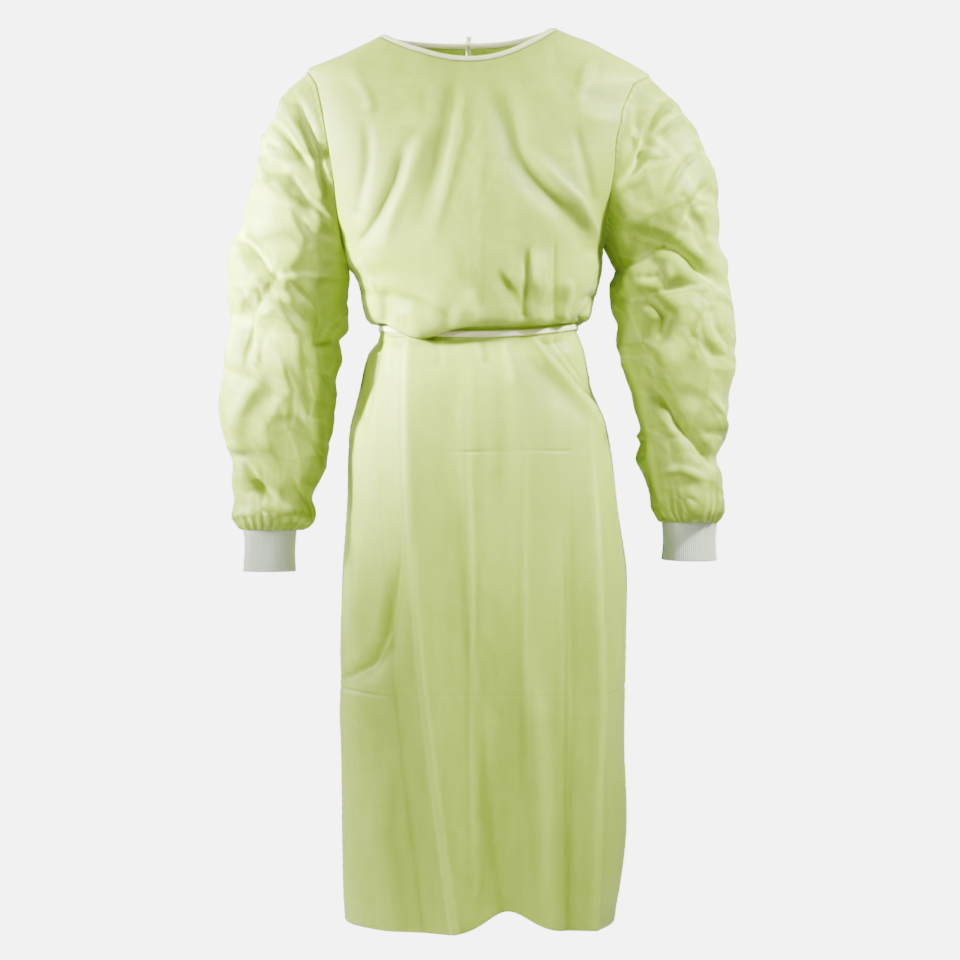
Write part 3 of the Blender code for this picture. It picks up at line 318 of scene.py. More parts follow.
BACK_DOUBLED_SHADE = (
    Fold(((-190, -200), (-178, -262)), 0.6, 10, 26, 0.1, 1),
    Fold(((174, -190), (164, -255)), 0.6, 24, 10, 0.1, 1),
    Fold(((104, -384), (150, -440), (168, -510)), 0.7, 10, 10, 1, 0.3),
    Fold(((-108, -384), (-140, -440), (-164, -510)), 0.7, 10, 10, 1, 0.3),
)
# The folds of the thin cloth are this much deeper than those of its thick solid
BODY_GAIN = 1.45
FADE_SHARE = 0.3
PRESSED_FLANK = 1.3
SOFT_FLANK = 2.0
# A small pressed fold leans over, so that its longer side is a flat facet this many times as long
LEANING_REACH = 12.0
LEAN = 2.4
# How quickly the front's folds give way to the back's at the side lines
SIDE_BLEND = 2.5
# Folds and crumples lie flat under the waist tape
CALM_HALF = 7.0
CALM_FADE = 9.0
# The bloused cloth hangs lowest over the tape at the first place, and the front hem lifts at the second
DROP_DEPTH, DROP_MIDDLE, DROP_HALF, DROP_RUN, DROP_RUN_HALF = 17.0, -72.0, 46.0, 353.0, 3.5
LIFT_HEIGHT, LIFT_MIDDLE, LIFT_HALF, LIFT_RUN = 27.0, 36.0, 38.0, 150.0


def ease(value):
    """Smooth step from 0 to 1."""
    held = np.clip(value, 0.0, 1.0)
    return held * held * (3.0 - 2.0 * held)


def unit(vectors):
    """Vectors drawn to a length of one."""
    return vectors / np.maximum(np.linalg.norm(vectors, axis=-1, keepdims=True), 1e-9)


def read_table(rows, at):
    """Columns of a table of sizes at distances between its rows, smooth and without overshoot."""
    stations = rows[:, 0]
    values = rows[:, 1:]
    gaps = np.diff(stations)
    slopes = np.diff(values, axis=0) / gaps[:, None]
    before, after = slopes[:-1], slopes[1:]
    same_way = before * after > 0
    total = np.where(same_way, before + after, 1.0)
    tangents = np.vstack([slopes[:1], np.where(same_way, 2.0 * before * after / total, 0.0), slopes[-1:]])
    at = np.asarray(at, dtype=float)
    index = np.clip(np.searchsorted(stations, at, side="right") - 1, 0, len(gaps) - 1)
    step = gaps[index][..., None]
    share = ((at - stations[index]) / gaps[index])[..., None]
    start = values[index]
    rise = values[index + 1] - start
    leave, arrive = tangents[index] * step, tangents[index + 1] * step
    curve = 3.0 * rise - 2.0 * leave - arrive
    twist = leave + arrive - 2.0 * rise
    return start + share * (leave + share * (curve + share * twist))


BODY_ROWS = np.array(BODY, dtype=float)


def plain_body(turn, run):
    """Body cloth without folds. Turn is 0 at the centre front and grows to the wearer's left."""
    right, left, front, back, z_right, z_left, z_front, z_back, square = np.moveaxis(
        read_table(BODY_ROWS, run), -1, 0)
    across, ahead = np.sin(turn), np.cos(turn)
    round_off = 2.0 / square
    x = (left + right) / 2.0 + (left - right) / 2.0 * np.sign(across) * np.abs(across) ** round_off
    y = np.where(ahead > 0, front, back) * np.abs(ahead) ** round_off
    side_z = np.where(across > 0, z_left, z_right)
    middle_z = np.where(ahead > 0, z_front, z_back)
    return np.stack([x, y, side_z * across ** 2 + middle_z * ahead ** 2], axis=-1)


def body_turn(facing, behind):
    """Turn of a place on the front or the back. Facing is 0 at its middle and grows to the wearer's left."""
    return math.pi - facing if behind else facing


def fold_depth(fold, x, z):
    """How far one fold moves the cloth at points seen from the front."""
    spots = np.array(fold.path, dtype=float)
    lengths = np.linalg.norm(np.diff(spots, axis=0), axis=1)
    run_before = np.concatenate([[0.0], np.cumsum(lengths)])
    nearest = np.full(x.shape, np.inf)
    share = np.zeros(x.shape)
    beside = np.zeros(x.shape)
    for number, length in enumerate(lengths):
        start = spots[number]
        way = (spots[number + 1] - start) / length
        offset_x, offset_z = x - start[0], z - start[1]
        along = np.clip(offset_x * way[0] + offset_z * way[1], 0.0, length)
        gap_x, gap_z = offset_x - along * way[0], offset_z - along * way[1]
        distance = np.hypot(gap_x, gap_z)
        closer = distance < nearest
        nearest = np.where(closer, distance, nearest)
        share = np.where(closer, (run_before[number] + along) / run_before[-1], share)
        beside = np.where(closer, gap_x * way[1] - gap_z * way[0], beside)
    left, right = fold.left, fold.right
    if fold.pressed and left != right and max(left, right) < LEANING_REACH:
        left, right = (left * LEAN, right) if left > right else (left, right * LEAN)
    reach = nearest / np.where(beside < 0, right, left)
    if fold.pressed:
        shape = np.clip(1.0 - reach, 0.0, 1.0) ** PRESSED_FLANK
    else:
        shape = np.exp(-SOFT_FLANK * reach ** 2)
    start_part = fold.start + (1.0 - fold.start) * ease(share / FADE_SHARE)
    end_part = fold.end + (1.0 - fold.end) * ease((1.0 - share) / FADE_SHARE)
    return fold.depth * shape * start_part * end_part


NOISE_WAVES = 5
NOISE_SIZES = (0.7, 1.5)
NOISE_SPAN = 3.0


def smooth_noise(u, v, size, seed):
    """A gentle uneven surface between about -1 and 1, with swells of this size."""
    draw = np.random.default_rng(seed)
    total = np.zeros(np.shape(u))
    for _ in range(NOISE_WAVES):
        heading = draw.uniform(0.0, 2.0 * math.pi)
        pitch = 2.0 * math.pi / (size * draw.uniform(*NOISE_SIZES))
        phase = draw.uniform(0.0, 2.0 * math.pi)
        total = total + np.sin((u * math.cos(heading) + v * math.sin(heading)) * pitch + phase)
    return total / NOISE_SPAN


FACET_CORNERS = 64
FACET_SKEW = 0.45


def facets(u, v, size, seed):
    """The flat facets and crisp edges of crumpled paper, between -1 and 1, with facets of about this size."""
    heights = np.random.default_rng(seed).uniform(-1.0, 1.0, (FACET_CORNERS, FACET_CORNERS))
    across = u / size + FACET_SKEW * smooth_noise(u, v, 3.1 * size, seed + 1)
    down = v / size + FACET_SKEW * smooth_noise(u, v, 2.7 * size, seed + 2)
    column, row = np.floor(across).astype(int), np.floor(down).astype(int)
    part_u, part_v = across - column, down - row

    def height(columns_on, rows_on):
        return heights[(column + columns_on) % FACET_CORNERS, (row + rows_on) % FACET_CORNERS]

    low = height(0, 0) + part_u * (height(1, 0) - height(0, 0)) + part_v * (height(0, 1) - height(0, 0))
    high = (height(1, 1) + (1.0 - part_u) * (height(0, 1) - height(1, 1))
            + (1.0 - part_v) * (height(1, 0) - height(1, 1)))
    return np.where(part_u + part_v < 1.0, low, high)


PATCH_SIZE, SWELL_SIZE, FACET_SIZE, CREASE_SIZE = 190.0, 120.0, 58.0, 21.0
SWELL_HEIGHT = 0.9
SWELL_DRAWN_OUT = 0.45
LEAST_CRUMPLE = 0.35
SKIRT_FACET, CHEST_FACET = 1.6, 1.6
SKIRT_CREASING, CHEST_CREASING, WAIST_CREASING = 0.25, 0.6, 2.0
CHEST_ABOVE, CHEST_FADE = -420.0, 60.0
WAIST_HEIGHT, WAIST_HALF = -345.0, 55.0


def body_crumple(x, z, seed):
    """Small unevenness of the body's papery cloth: broad on the skirt, finer on the chest and the waist."""
    patchy = 0.5 + 0.5 * smooth_noise(x, z, PATCH_SIZE, seed + 10)
    chest = ease((z - CHEST_ABOVE) / CHEST_FADE)
    waist = np.exp(-((z - WAIST_HEIGHT) / WAIST_HALF) ** 2)
    uneven = LEAST_CRUMPLE + (1.0 - LEAST_CRUMPLE) * patchy
    broad = SWELL_HEIGHT * smooth_noise(x, SWELL_DRAWN_OUT * z, SWELL_SIZE, seed + 11)
    fine = (SKIRT_FACET + CHEST_FACET * chest) * facets(x, z, FACET_SIZE, seed + 12) * uneven
    creasing = SKIRT_CREASING + CHEST_CREASING * chest + WAIST_CREASING * waist
    return broad + fine + creasing * facets(x, z, CREASE_SIZE, seed + 13) * patchy


FRONT_SEED, BACK_SEED = 20, 60


def folds_at(points, front_folds, back_folds, gain, frontness, crumple):
    """Sum of all folds. Frontness is 1 where the cloth faces forward and 0 where it faces back."""
    x, z = points[..., 0], points[..., 2]
    ahead = gain * sum(fold_depth(fold, x, z) for fold in front_folds) + crumple(x, z, FRONT_SEED)
    behind = gain * sum(fold_depth(fold, x, z) for fold in back_folds) + crumple(x, z, BACK_SEED)
    return ahead * frontness + behind * (1.0 - frontness)


SMALL_STEP = 0.5
SMALL_TURN = math.radians(0.5)


def surface_normal(surface, first, second):
    """Unit normal of a surface of two values."""
    along_first = surface(first + SMALL_TURN, second) - surface(first - SMALL_TURN, second)
    along_second = surface(first, second + SMALL_STEP) - surface(first, second - SMALL_STEP)
    return unit(np.cross(along_first, along_second))


def body_point(turn, run):
    """Outer face of the body cloth, with its folds."""
    base = plain_body(turn, run)
    normal = -surface_normal(plain_body, turn, run)
    frontness = ease(0.5 + SIDE_BLEND * np.cos(turn))
    calm = ease((np.abs(run - TAPE_RUN) - CALM_HALF) / CALM_FADE)
    depth = folds_at(base, FRONT_FOLDS, BACK_FOLDS, BODY_GAIN, frontness, body_crumple) * calm
    point = base + normal * depth[..., None]
    drop = np.exp(-((base[..., 0] - DROP_MIDDLE) / DROP_HALF) ** 2)
    drop = drop * np.exp(-((run - DROP_RUN) / DROP_RUN_HALF) ** 2)
    lift = np.exp(-((base[..., 0] - LIFT_MIDDLE) / LIFT_HALF) ** 2)
    lift = lift * ease((run - HEM_RUN + LIFT_RUN) / LIFT_RUN)
    point[..., 2] += frontness * (LIFT_HEIGHT * lift - DROP_DEPTH * drop)
    return point


HALVINGS = 34
ARMHOLE_OPEN_MOST = math.radians(62)
ARMHOLE_STEPS = 60


def seam_open(side, behind, run):
    """Angle from the side line at which the ring at this run meets the armhole seam, found by halving."""
    seam = np.array(ARMHOLE[side][::-1], dtype=float)
    narrow = np.zeros(run.shape)
    wide = np.full(run.shape, ARMHOLE_OPEN_MOST)
    for _ in range(HALVINGS):
        middle = (narrow + wide) / 2.0
        point = plain_body(body_turn(side * (QUARTER - middle), behind), run)
        outside = side * point[..., 0] > np.interp(point[..., 2], seam[:, 0], seam[:, 1])
        narrow = np.where(outside, middle, narrow)
        wide = np.where(outside, wide, middle)
    return narrow


def armhole_edge(side, behind):
    """Facing angle and run of the armhole seam's points, from the shoulder tip to the underarm."""
    seam = ARMHOLE[side]
    steps = np.arange(ARMHOLE_STEPS + 1) * math.pi / ARMHOLE_STEPS
    heights = seam[0][0] + (seam[-1][0] - seam[0][0]) * (1.0 - np.cos(steps)) / 2.0
    upper = np.full(heights.shape, SHOULDER_RUN)
    lower = np.full(heights.shape, UNDERARM_RUN)
    for _ in range(HALVINGS):
        middle = (upper + lower) / 2.0
        point = plain_body(body_turn(side * (QUARTER - seam_open(side, behind, middle)), behind), middle)
        above = point[..., 2] > heights
        upper = np.where(above, middle, upper)
        lower = np.where(above, lower, middle)
    upper[0], upper[-1] = SHOULDER_RUN, UNDERARM_RUN
    facing = side * (QUARTER - seam_open(side, behind, upper))
    facing[0] = facing[-1] = side * QUARTER
    return facing, upper


EDGES = {(side, behind): armhole_edge(side, behind) for side in (-1, 1) for behind in (False, True)}
CHART_NECK = 60.0
LEAST_ROW_STEP = 0.6
NECK_SHARES = (6.0 / 28.0, 20.0 / 28.0)
# Rows below the underarm: the run where each stretch ends and the distance between its rows, which lie close
# at the waist and at the packing creases
BELOW_ARMHOLE = ((340.0, 4.2), (400.0, 2.0), (516.0, 4.8), (534.0, 1.5), (828.0, 5.0), (848.0, 1.5),
                 (HEM_RUN, 5.0))


def flat_chart(facing, run):
    """The panel laid out flat round its neck, as a place on a plane."""
    radius = CHART_NECK + run
    return np.stack([radius * np.sin(facing), -radius * np.cos(facing)], axis=-1)


def top_edge(shares):
    """A panel's upper edge in the chart: right shoulder seam, neckline, left shoulder seam."""
    right_end, left_start = NECK_SHARES
    run = np.interp(shares, (0.0, right_end, left_start, 1.0),
                    (SHOULDER_RUN, BINDING_RUN, BINDING_RUN, SHOULDER_RUN))
    return flat_chart(np.interp(shares, NECK_SHARES, (-QUARTER, QUARTER)), run)


def rows_below():
    """Runs of the rows below the underarm."""
    runs, start = [], UNDERARM_RUN
    for end, step in BELOW_ARMHOLE:
        runs += list(np.linspace(start, end, round((end - start) / step) + 1)[1:])
        start = end
    return np.array(runs)


def panel_places(shares, behind):
    """Facing angle and run of a panel's points by rows from its upper edge, each row with its own shares."""
    upper = shares[:ARMHOLE_STEPS + 1]
    down = np.linspace(0.0, 1.0, ARMHOLE_STEPS + 1)[:, None, None]
    bottom = flat_chart((2.0 * upper - 1.0) * QUARTER, np.full(upper.shape, UNDERARM_RUN))
    chart = (1.0 - down) * top_edge(upper) + down * bottom
    for side, near in ((-1, 1.0 - 2.0 * upper), (1, 2.0 * upper - 1.0)):
        edge = flat_chart(*EDGES[side, behind])[:, None, :]
        straight = (1.0 - down) * edge[0] + down * edge[-1]
        chart = chart + ease(near)[..., None] * (edge - straight)
    facing = np.arctan2(chart[..., 0], -chart[..., 1])
    run = np.hypot(chart[..., 0], chart[..., 1]) - CHART_NECK
    last_runs = UNDERARM_RUN - LEAST_ROW_STEP * np.arange(ARMHOLE_STEPS, -1, -1)[:, None]
    run = np.minimum(run, last_runs)
    lower = shares[ARMHOLE_STEPS + 1:]
    facing = np.vstack([facing, (2.0 * lower - 1.0) * QUARTER])
    run = np.vstack([run, np.repeat(rows_below()[:, None], lower.shape[1], axis=1)])
    return facing, run


def grid_normals(points, ring, outward):
    """Unit normals of a grid of points, on the side that an outward direction at its middle points to."""
    down = np.gradient(points, axis=0)
    if ring:
        across = (np.roll(points, -1, axis=1) - np.roll(points, 1, axis=1)) / 2.0
    else:
        across = np.gradient(points, axis=1)
    normals = unit(np.cross(across, down))
    middle = normals[points.shape[0] // 2, points.shape[1] // 2]
    return normals if np.dot(middle, outward) > 0 else -normals


def arc_lengths(points, axis):
    """Distance of each point of a grid from its first row or column, along the grid."""
    steps = np.linalg.norm(np.diff(points, axis=axis), axis=-1)
    start = np.zeros_like(np.take(steps, [0], axis=axis))
    return np.concatenate([start, np.cumsum(steps, axis=axis)], axis=axis)


SEAM_SWELL = 0.8
SEAM_SWELL_AT = 3.0
PUCKER_UNEVEN = 0.6
PUCKER_WANDER = 2.2
PUCKER_HELD = 2.0
PUCKER_FADE = 1.4


def puckers(along, away, spacing, height, reach, seed):
    """Small gathers across a seam, which die out away from it. The cloth swells beside the seam."""
    uneven = 1.0 + PUCKER_UNEVEN * smooth_noise(along, 0.0 * along, 6.0 * spacing, seed)
    wander = PUCKER_WANDER * smooth_noise(along, 0.0 * along, 4.0 * spacing, seed + 1)
    wave = np.sin(2.0 * math.pi * along / spacing + wander)
    swell = SEAM_SWELL * (away / SEAM_SWELL_AT) * np.exp(1.0 - away / SEAM_SWELL_AT)
    held = 1.0 - np.exp(-(away / PUCKER_HELD) ** 2)
    return swell + height * uneven * wave * held * np.exp(-(away / reach) ** PUCKER_FADE)


# Rows and columns over which a point is compared with the cloth round it, by the attribute that keeps the
# result. The cloth's colour reads both as painted light: ridges and crisp edges get a painted highlight, and
# hollows and creases a painted shade of deeper yellow.
SHADE_PAINT_REACH = {"fold_shade_paint": 5, "crease": 1}


def doubled_shade_at(points, paths):
    """Share of painted shade, where the cloth would lie double, at points seen from the front."""
    return np.clip(sum(fold_depth(fold, points[..., 0], points[..., 2]) for fold in paths), 0.0, 1.0)


def stands_out(points, normals, reach, ring):
    """How far each point of a grid stands out from the cloth within this many rows and columns, in mm."""
    middle = points
    for axis in (0, 1):
        margins = [(0, 0), (0, 0), (0, 0)]
        margins[axis] = (reach, reach)
        padded = np.pad(middle, margins, mode="wrap" if ring and axis == 1 else "edge")
        places = np.arange(points.shape[axis])
        across = 2 * reach + 1
        middle = sum(np.take(padded, places + shift, axis=axis) for shift in range(across)) / across
    return ((points - middle) * normals).sum(axis=-1)


def cloth_piece(name, points, material, thickness, outward, ring=False, doubled_shade=None):
    """A thin closed sheet of cloth whose outer face is a grid of points. Its UV map is the cut, in metres."""
    rows, columns = points.shape[:2]
    flat_u = arc_lengths(points, 1)
    flat_v = np.repeat(arc_lengths(points, 0).mean(axis=1, keepdims=True), columns, axis=1)
    wrap = columns if ring else columns - 1
    faces = [(row * columns + column, row * columns + (column + 1) % columns,
              (row + 1) * columns + (column + 1) % columns, (row + 1) * columns + column)
             for row in range(rows - 1) for column in range(wrap)]
    normal = np.cross(points[rows // 2, columns // 2 + 1] - points[rows // 2, columns // 2],
                      points[rows // 2 + 1, columns // 2] - points[rows // 2, columns // 2])
    if np.dot(normal, outward) < 0:
        faces = [face[::-1] for face in faces]
    made = mesh_object(name, points, faces, material)
    uv_map = made.data.uv_layers.new(name="cut")
    corners = np.zeros(len(made.data.loops), dtype=int)
    made.data.loops.foreach_get("vertex_index", corners)
    flat = np.stack([flat_u.reshape(-1)[corners], flat_v.reshape(-1)[corners]], axis=-1) * MM
    if ring:
        whole_round = flat_u[:, -1] + np.linalg.norm(points[:, 0] - points[:, -1], axis=-1)
        closing = (np.arange(len(corners)) // 4 % columns == columns - 1) & (corners % columns == 0)
        flat[closing, 0] = whole_round[corners[closing] // columns] * MM
    uv_map.data.foreach_set("uv", flat.reshape(-1).astype(np.float32))
    normals = grid_normals(points, ring, outward)
    # These heights paint a highlight on ridges and a shade in hollows into the cloth's colour
    for attribute, reach in SHADE_PAINT_REACH.items():
        height = made.data.attributes.new(attribute, "FLOAT", "POINT")
        heights = stands_out(points, normals, reach, ring)
        height.data.foreach_set("value", heights.reshape(-1).astype(np.float32))
    # Share of painted shade, where the cloth would lie double
    if doubled_shade is not None:
        layers = made.data.attributes.new("doubled_shade", "FLOAT", "POINT")
        layers.data.foreach_set("value", doubled_shade.reshape(-1).astype(np.float32))
    wall = made.modifiers.new("thickness", "SOLIDIFY")
    wall.thickness = thickness * MM
    wall.offset = -1.0
    return made


# Mixes one colour with another, by the numbers of a colour mix's sockets
MIX_FIRST, MIX_SECOND, MIX_RESULT = 6, 7, 2


def mix_colours(tree, share, first, second):
    """A colour output mixed by a share. The first colour is written out or comes from another node."""
    mix = add_node(tree, "ShaderNodeMix", {"data_type": "RGBA"}, {"Factor": share},
                   {MIX_SECOND: linear(second)})
    if isinstance(first, str):
        mix.inputs[MIX_FIRST].default_value = linear(first)
    else:
        tree.links.new(first, mix.inputs[MIX_FIRST])
    return mix.outputs[MIX_RESULT]


# Spun-bonded polypropylene nonwoven, dyed pale yellow, of fibres laid at random and welded at small points.
# It lets some light through and has a papery, dull sheen. Where it would lie double, its colour is painted a
# darker, deeper lime as painted shade.
# Single fibres are too fine to show, so they are drawn as specks 2.2 mm wide. The welds are of a real size.
NONWOVEN, cloth_tree, cloth_shader = new_material("spun-bonded polypropylene nonwoven", "#D2E15A", 0.54)
CLOTH = 0.5
# Sizes of the patterns in metres. The clumps of fibres are drawn out down the cloth by heights made smaller.
FIBRE_CLUMP = 0.018
FIBRE_RUN = 0.22
FIBRE_WIDTH = 0.0022
BOND_SPACING = 0.0026
# Heights in millimetres over the cloth round a place, and how far they move its tone as painted highlight on
# ridges and painted shade in hollows, and how far the random clumps move it
RIDGE_HEIGHT, PAINTED_FOLD_SHADES = 5.0, (0.28, 0.72)
CREASE_HEIGHT, PAINTED_CREASE_SHADE = 0.4, 0.42
CLUMP_TONE = 0.13
LIGHT_THROUGH = 0.24
place = add_node(cloth_tree, "ShaderNodeUVMap", {"uv_map": "cut"})
solid_place = add_node(cloth_tree, "ShaderNodeTexCoord")
streaked = add_node(cloth_tree, "ShaderNodeVectorMath", {"operation": "MULTIPLY"},
                    {0: solid_place.outputs["Object"]}, {1: (1.0, 1.0, FIBRE_RUN)})
clumps = add_node(cloth_tree, "ShaderNodeTexNoise", links={"Vector": streaked.outputs["Vector"]},
                  Scale=1.0 / FIBRE_CLUMP, Detail=4.0, Roughness=0.62)
fibres = add_node(cloth_tree, "ShaderNodeTexNoise", links={"Vector": place.outputs["UV"]},
                  Scale=1.0 / FIBRE_WIDTH, Detail=3.0, Roughness=0.7)
# Painted highlight on ridges and crisp edges and painted shade in hollows and creases, from the heights over
# the cloth round each point
fold_shade_height = add_node(cloth_tree, "ShaderNodeAttribute", {"attribute_name": "fold_shade_paint"})
crease_shade_height = add_node(cloth_tree, "ShaderNodeAttribute", {"attribute_name": "crease"})
clump_tone = add_node(cloth_tree, "ShaderNodeMapRange", links={"Value": clumps.outputs["Fac"]},
                      From_Min=0.3, From_Max=0.7, To_Min=-CLUMP_TONE, To_Max=CLUMP_TONE)
painted_fold_shade = add_node(cloth_tree, "ShaderNodeMapRange", links={"Value": fold_shade_height.outputs["Fac"]},
                      From_Min=-RIDGE_HEIGHT, From_Max=RIDGE_HEIGHT, To_Min=PAINTED_FOLD_SHADES[0],
                      To_Max=PAINTED_FOLD_SHADES[1])
painted_crease_shade = add_node(cloth_tree, "ShaderNodeMapRange", links={"Value": crease_shade_height.outputs["Fac"]},
                       From_Min=-CREASE_HEIGHT, From_Max=CREASE_HEIGHT, To_Min=-PAINTED_CREASE_SHADE,
                       To_Max=PAINTED_CREASE_SHADE)
painted_fold_shading = add_node(cloth_tree, "ShaderNodeMath", {"operation": "ADD"},
                     {0: painted_fold_shade.outputs["Result"], 1: painted_crease_shade.outputs["Result"]})
shade_and_clump_tone = add_node(cloth_tree, "ShaderNodeMath", {"operation": "ADD", "use_clamp": True},
                      {0: painted_fold_shading.outputs["Value"], 1: clump_tone.outputs["Result"]})
# The cloth's colour: painted shade in hollows and painted highlight on ridges, with random clumps of fibre
shaded_cloth_colour = mix_colours(cloth_tree, shade_and_clump_tone.outputs["Value"], "#9AB326", "#D3E858")
# Painted shade: a darker, deeper lime where the cloth would lie double, along folds, at the sides and under
# the arms
doubled_shade_share = add_node(cloth_tree, "ShaderNodeAttribute", {"attribute_name": "doubled_shade"})
layered_shade_colour = mix_colours(cloth_tree, doubled_shade_share.outputs["Fac"], shaded_cloth_colour, "#A6BE08")
cloth_tree.links.new(layered_shade_colour, cloth_shader.inputs["Base Color"])
bonds = add_node(cloth_tree, "ShaderNodeTexVoronoi", links={"Vector": place.outputs["UV"]},
                 Scale=1.0 / BOND_SPACING, Randomness=0.12)
bond_pits = add_node(cloth_tree, "ShaderNodeMapRange", links={"Value": bonds.outputs["Distance"]},
                     From_Min=0.1, From_Max=0.35)
fibre_bump = add_node(cloth_tree, "ShaderNodeBump", links={"Height": fibres.outputs["Fac"]},
                      Strength=0.12, Distance=0.0004)
bond_bump = add_node(cloth_tree, "ShaderNodeBump",
                     links={"Height": bond_pits.outputs["Result"], "Normal": fibre_bump.outputs["Normal"]},
                     Strength=0.10, Distance=0.0003)
cloth_tree.links.new(bond_bump.outputs["Normal"], cloth_shader.inputs["Normal"])
cloth_shader.inputs["Sheen Weight"].default_value = 0.12
cloth_shader.inputs["Sheen Roughness"].default_value = 0.5
cloth_shader.inputs["Specular IOR Level"].default_value = 0.42
through = add_node(cloth_tree, "ShaderNodeBsdfTranslucent", links={"Normal": bond_bump.outputs["Normal"]})
through.inputs["Color"].default_value = linear("#D0E430")
both = add_node(cloth_tree, "ShaderNodeMixShader", None,
                {1: cloth_shader.outputs["BSDF"], 2: through.outputs["BSDF"]}, Fac=LIGHT_THROUGH)
cloth_tree.links.new(both.outputs["Shader"], cloth_tree.nodes["Material Output"].inputs["Surface"])

FRONT_COLUMNS = 140
PUCKER_SPACING = 13.0
PUCKER_HEIGHT = 0.5
PUCKER_REACH = 8.0


def draw_in_seams(points, outward, seams, seed, runs, ring=False):
    """Moves points for the puckers of a piece's sewn edges: its first or last column, or its top row."""
    normals = grid_normals(points, ring, outward)
    down, across = arc_lengths(points, 0), arc_lengths(points, 1)
    depth = np.zeros(points.shape[:2])
    for number, seam in enumerate(seams):
        if seam == "first":
            along, away = down[:, :1] + 0.0 * down, across
        elif seam == "last":
            along, away = down[:, -1:] + 0.0 * down, across[:, -1:] - across
        else:
            along, away = across[:1] + 0.0 * across, down
        depth += puckers(along, away, PUCKER_SPACING, PUCKER_HEIGHT, PUCKER_REACH, seed + 3 * number)
    calm = ease((np.abs(runs - TAPE_RUN) - CALM_HALF) / CALM_FADE)
    return points + normals * (depth * calm)[..., None]


def panel_grid(shares, behind):
    """A panel's outer points, and the run of each."""
    facing, run = panel_places(shares, behind)
    return body_point(body_turn(facing, behind), run), facing, run


row_count = ARMHOLE_STEPS + 1 + len(rows_below())
front_shares = np.repeat(np.linspace(0.0, 1.0, FRONT_COLUMNS + 1)[None, :], row_count, axis=0)
front_points, _, front_runs = panel_grid(front_shares, False)
front_points = draw_in_seams(front_points, (0.0, -1.0, 0.0), ("first", "last"), 100, front_runs)
front = cloth_piece("gown_front", front_points, NONWOVEN, CLOTH, (0.0, -1.0, 0.0),
                    doubled_shade=doubled_shade_at(front_points, FRONT_DOUBLED_SHADE))
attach(front, "root")
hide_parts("front")


# The two back panels. They are cut from the same nonwoven and hang from the same shoulder seams. They are
# open down the centre back, and the left one laps over the right one from a little below the neck down.
LAP_TURN = math.radians(15)
LAP_NECK_TURN = math.radians(-1.3)
LAP_START_RUN = 24.0
LAP_FULL_RUN = 120.0
LAP_LIFT = 3.4
LIFT_RAMP_TURN = math.radians(16)
LAP_SHARE = LAP_TURN / math.pi
LAP_NECK_SHARE = -0.0045
LAP_GROWS_FROM = 0.1
LAP_GROWS_OVER = 0.5
SHOULDER_COLUMNS = {-1: 30, 1: 40}
BACK_COLUMNS = 48


def lap_lift(facing, run):
    """How far the left back panel is moved out where it lies over the right one."""
    share = ease((run - LAP_START_RUN) / (LAP_FULL_RUN - LAP_START_RUN))
    lap_angle = LAP_NECK_TURN + (LAP_TURN - LAP_NECK_TURN) * share
    ramp = ease((lap_angle + LIFT_RAMP_TURN - np.abs(facing)) / LIFT_RAMP_TURN)
    return LAP_LIFT * ramp * ease((run - BINDING_RUN) / (LAP_START_RUN - BINDING_RUN))


def back_shares(side):
    """Shares of a back panel's columns, row by row, from its side seam to its edge past the centre back."""
    down = np.clip(np.arange(row_count) / ARMHOLE_STEPS, 0.0, 1.0)[:, None]
    neck_middle = sum(NECK_SHARES) / 2.0
    centre = neck_middle + (0.5 - neck_middle) * down
    grown = ease((down - LAP_GROWS_FROM) / LAP_GROWS_OVER)
    end = centre - side * (LAP_NECK_SHARE + (LAP_SHARE - LAP_NECK_SHARE) * grown)
    start, corner = (1.0, NECK_SHARES[1]) if side > 0 else (0.0, NECK_SHARES[0])
    near = np.linspace(start, corner, SHOULDER_COLUMNS[side] + 1)[None, :].repeat(row_count, axis=0)
    far = corner + (end - corner) * np.arange(1, BACK_COLUMNS + 1) / BACK_COLUMNS
    return np.hstack([near, far])


for side, node in ((-1, "back_right"), (1, "back_left")):
    back_points, back_facing, back_runs = panel_grid(back_shares(side), True)
    if side > 0:
        back_points = back_points + grid_normals(back_points, False, (0.0, 1.0, 0.0)) * lap_lift(
            back_facing, back_runs)[..., None]
    back_points = draw_in_seams(back_points, (0.0, 1.0, 0.0), ("first",), 100, back_runs)
    back = cloth_piece("gown_" + node, back_points, NONWOVEN, CLOTH, (0.0, 1.0, 0.0),
                       doubled_shade=doubled_shade_at(back_points, BACK_DOUBLED_SHADE))
    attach(back, "root")
    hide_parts(node)


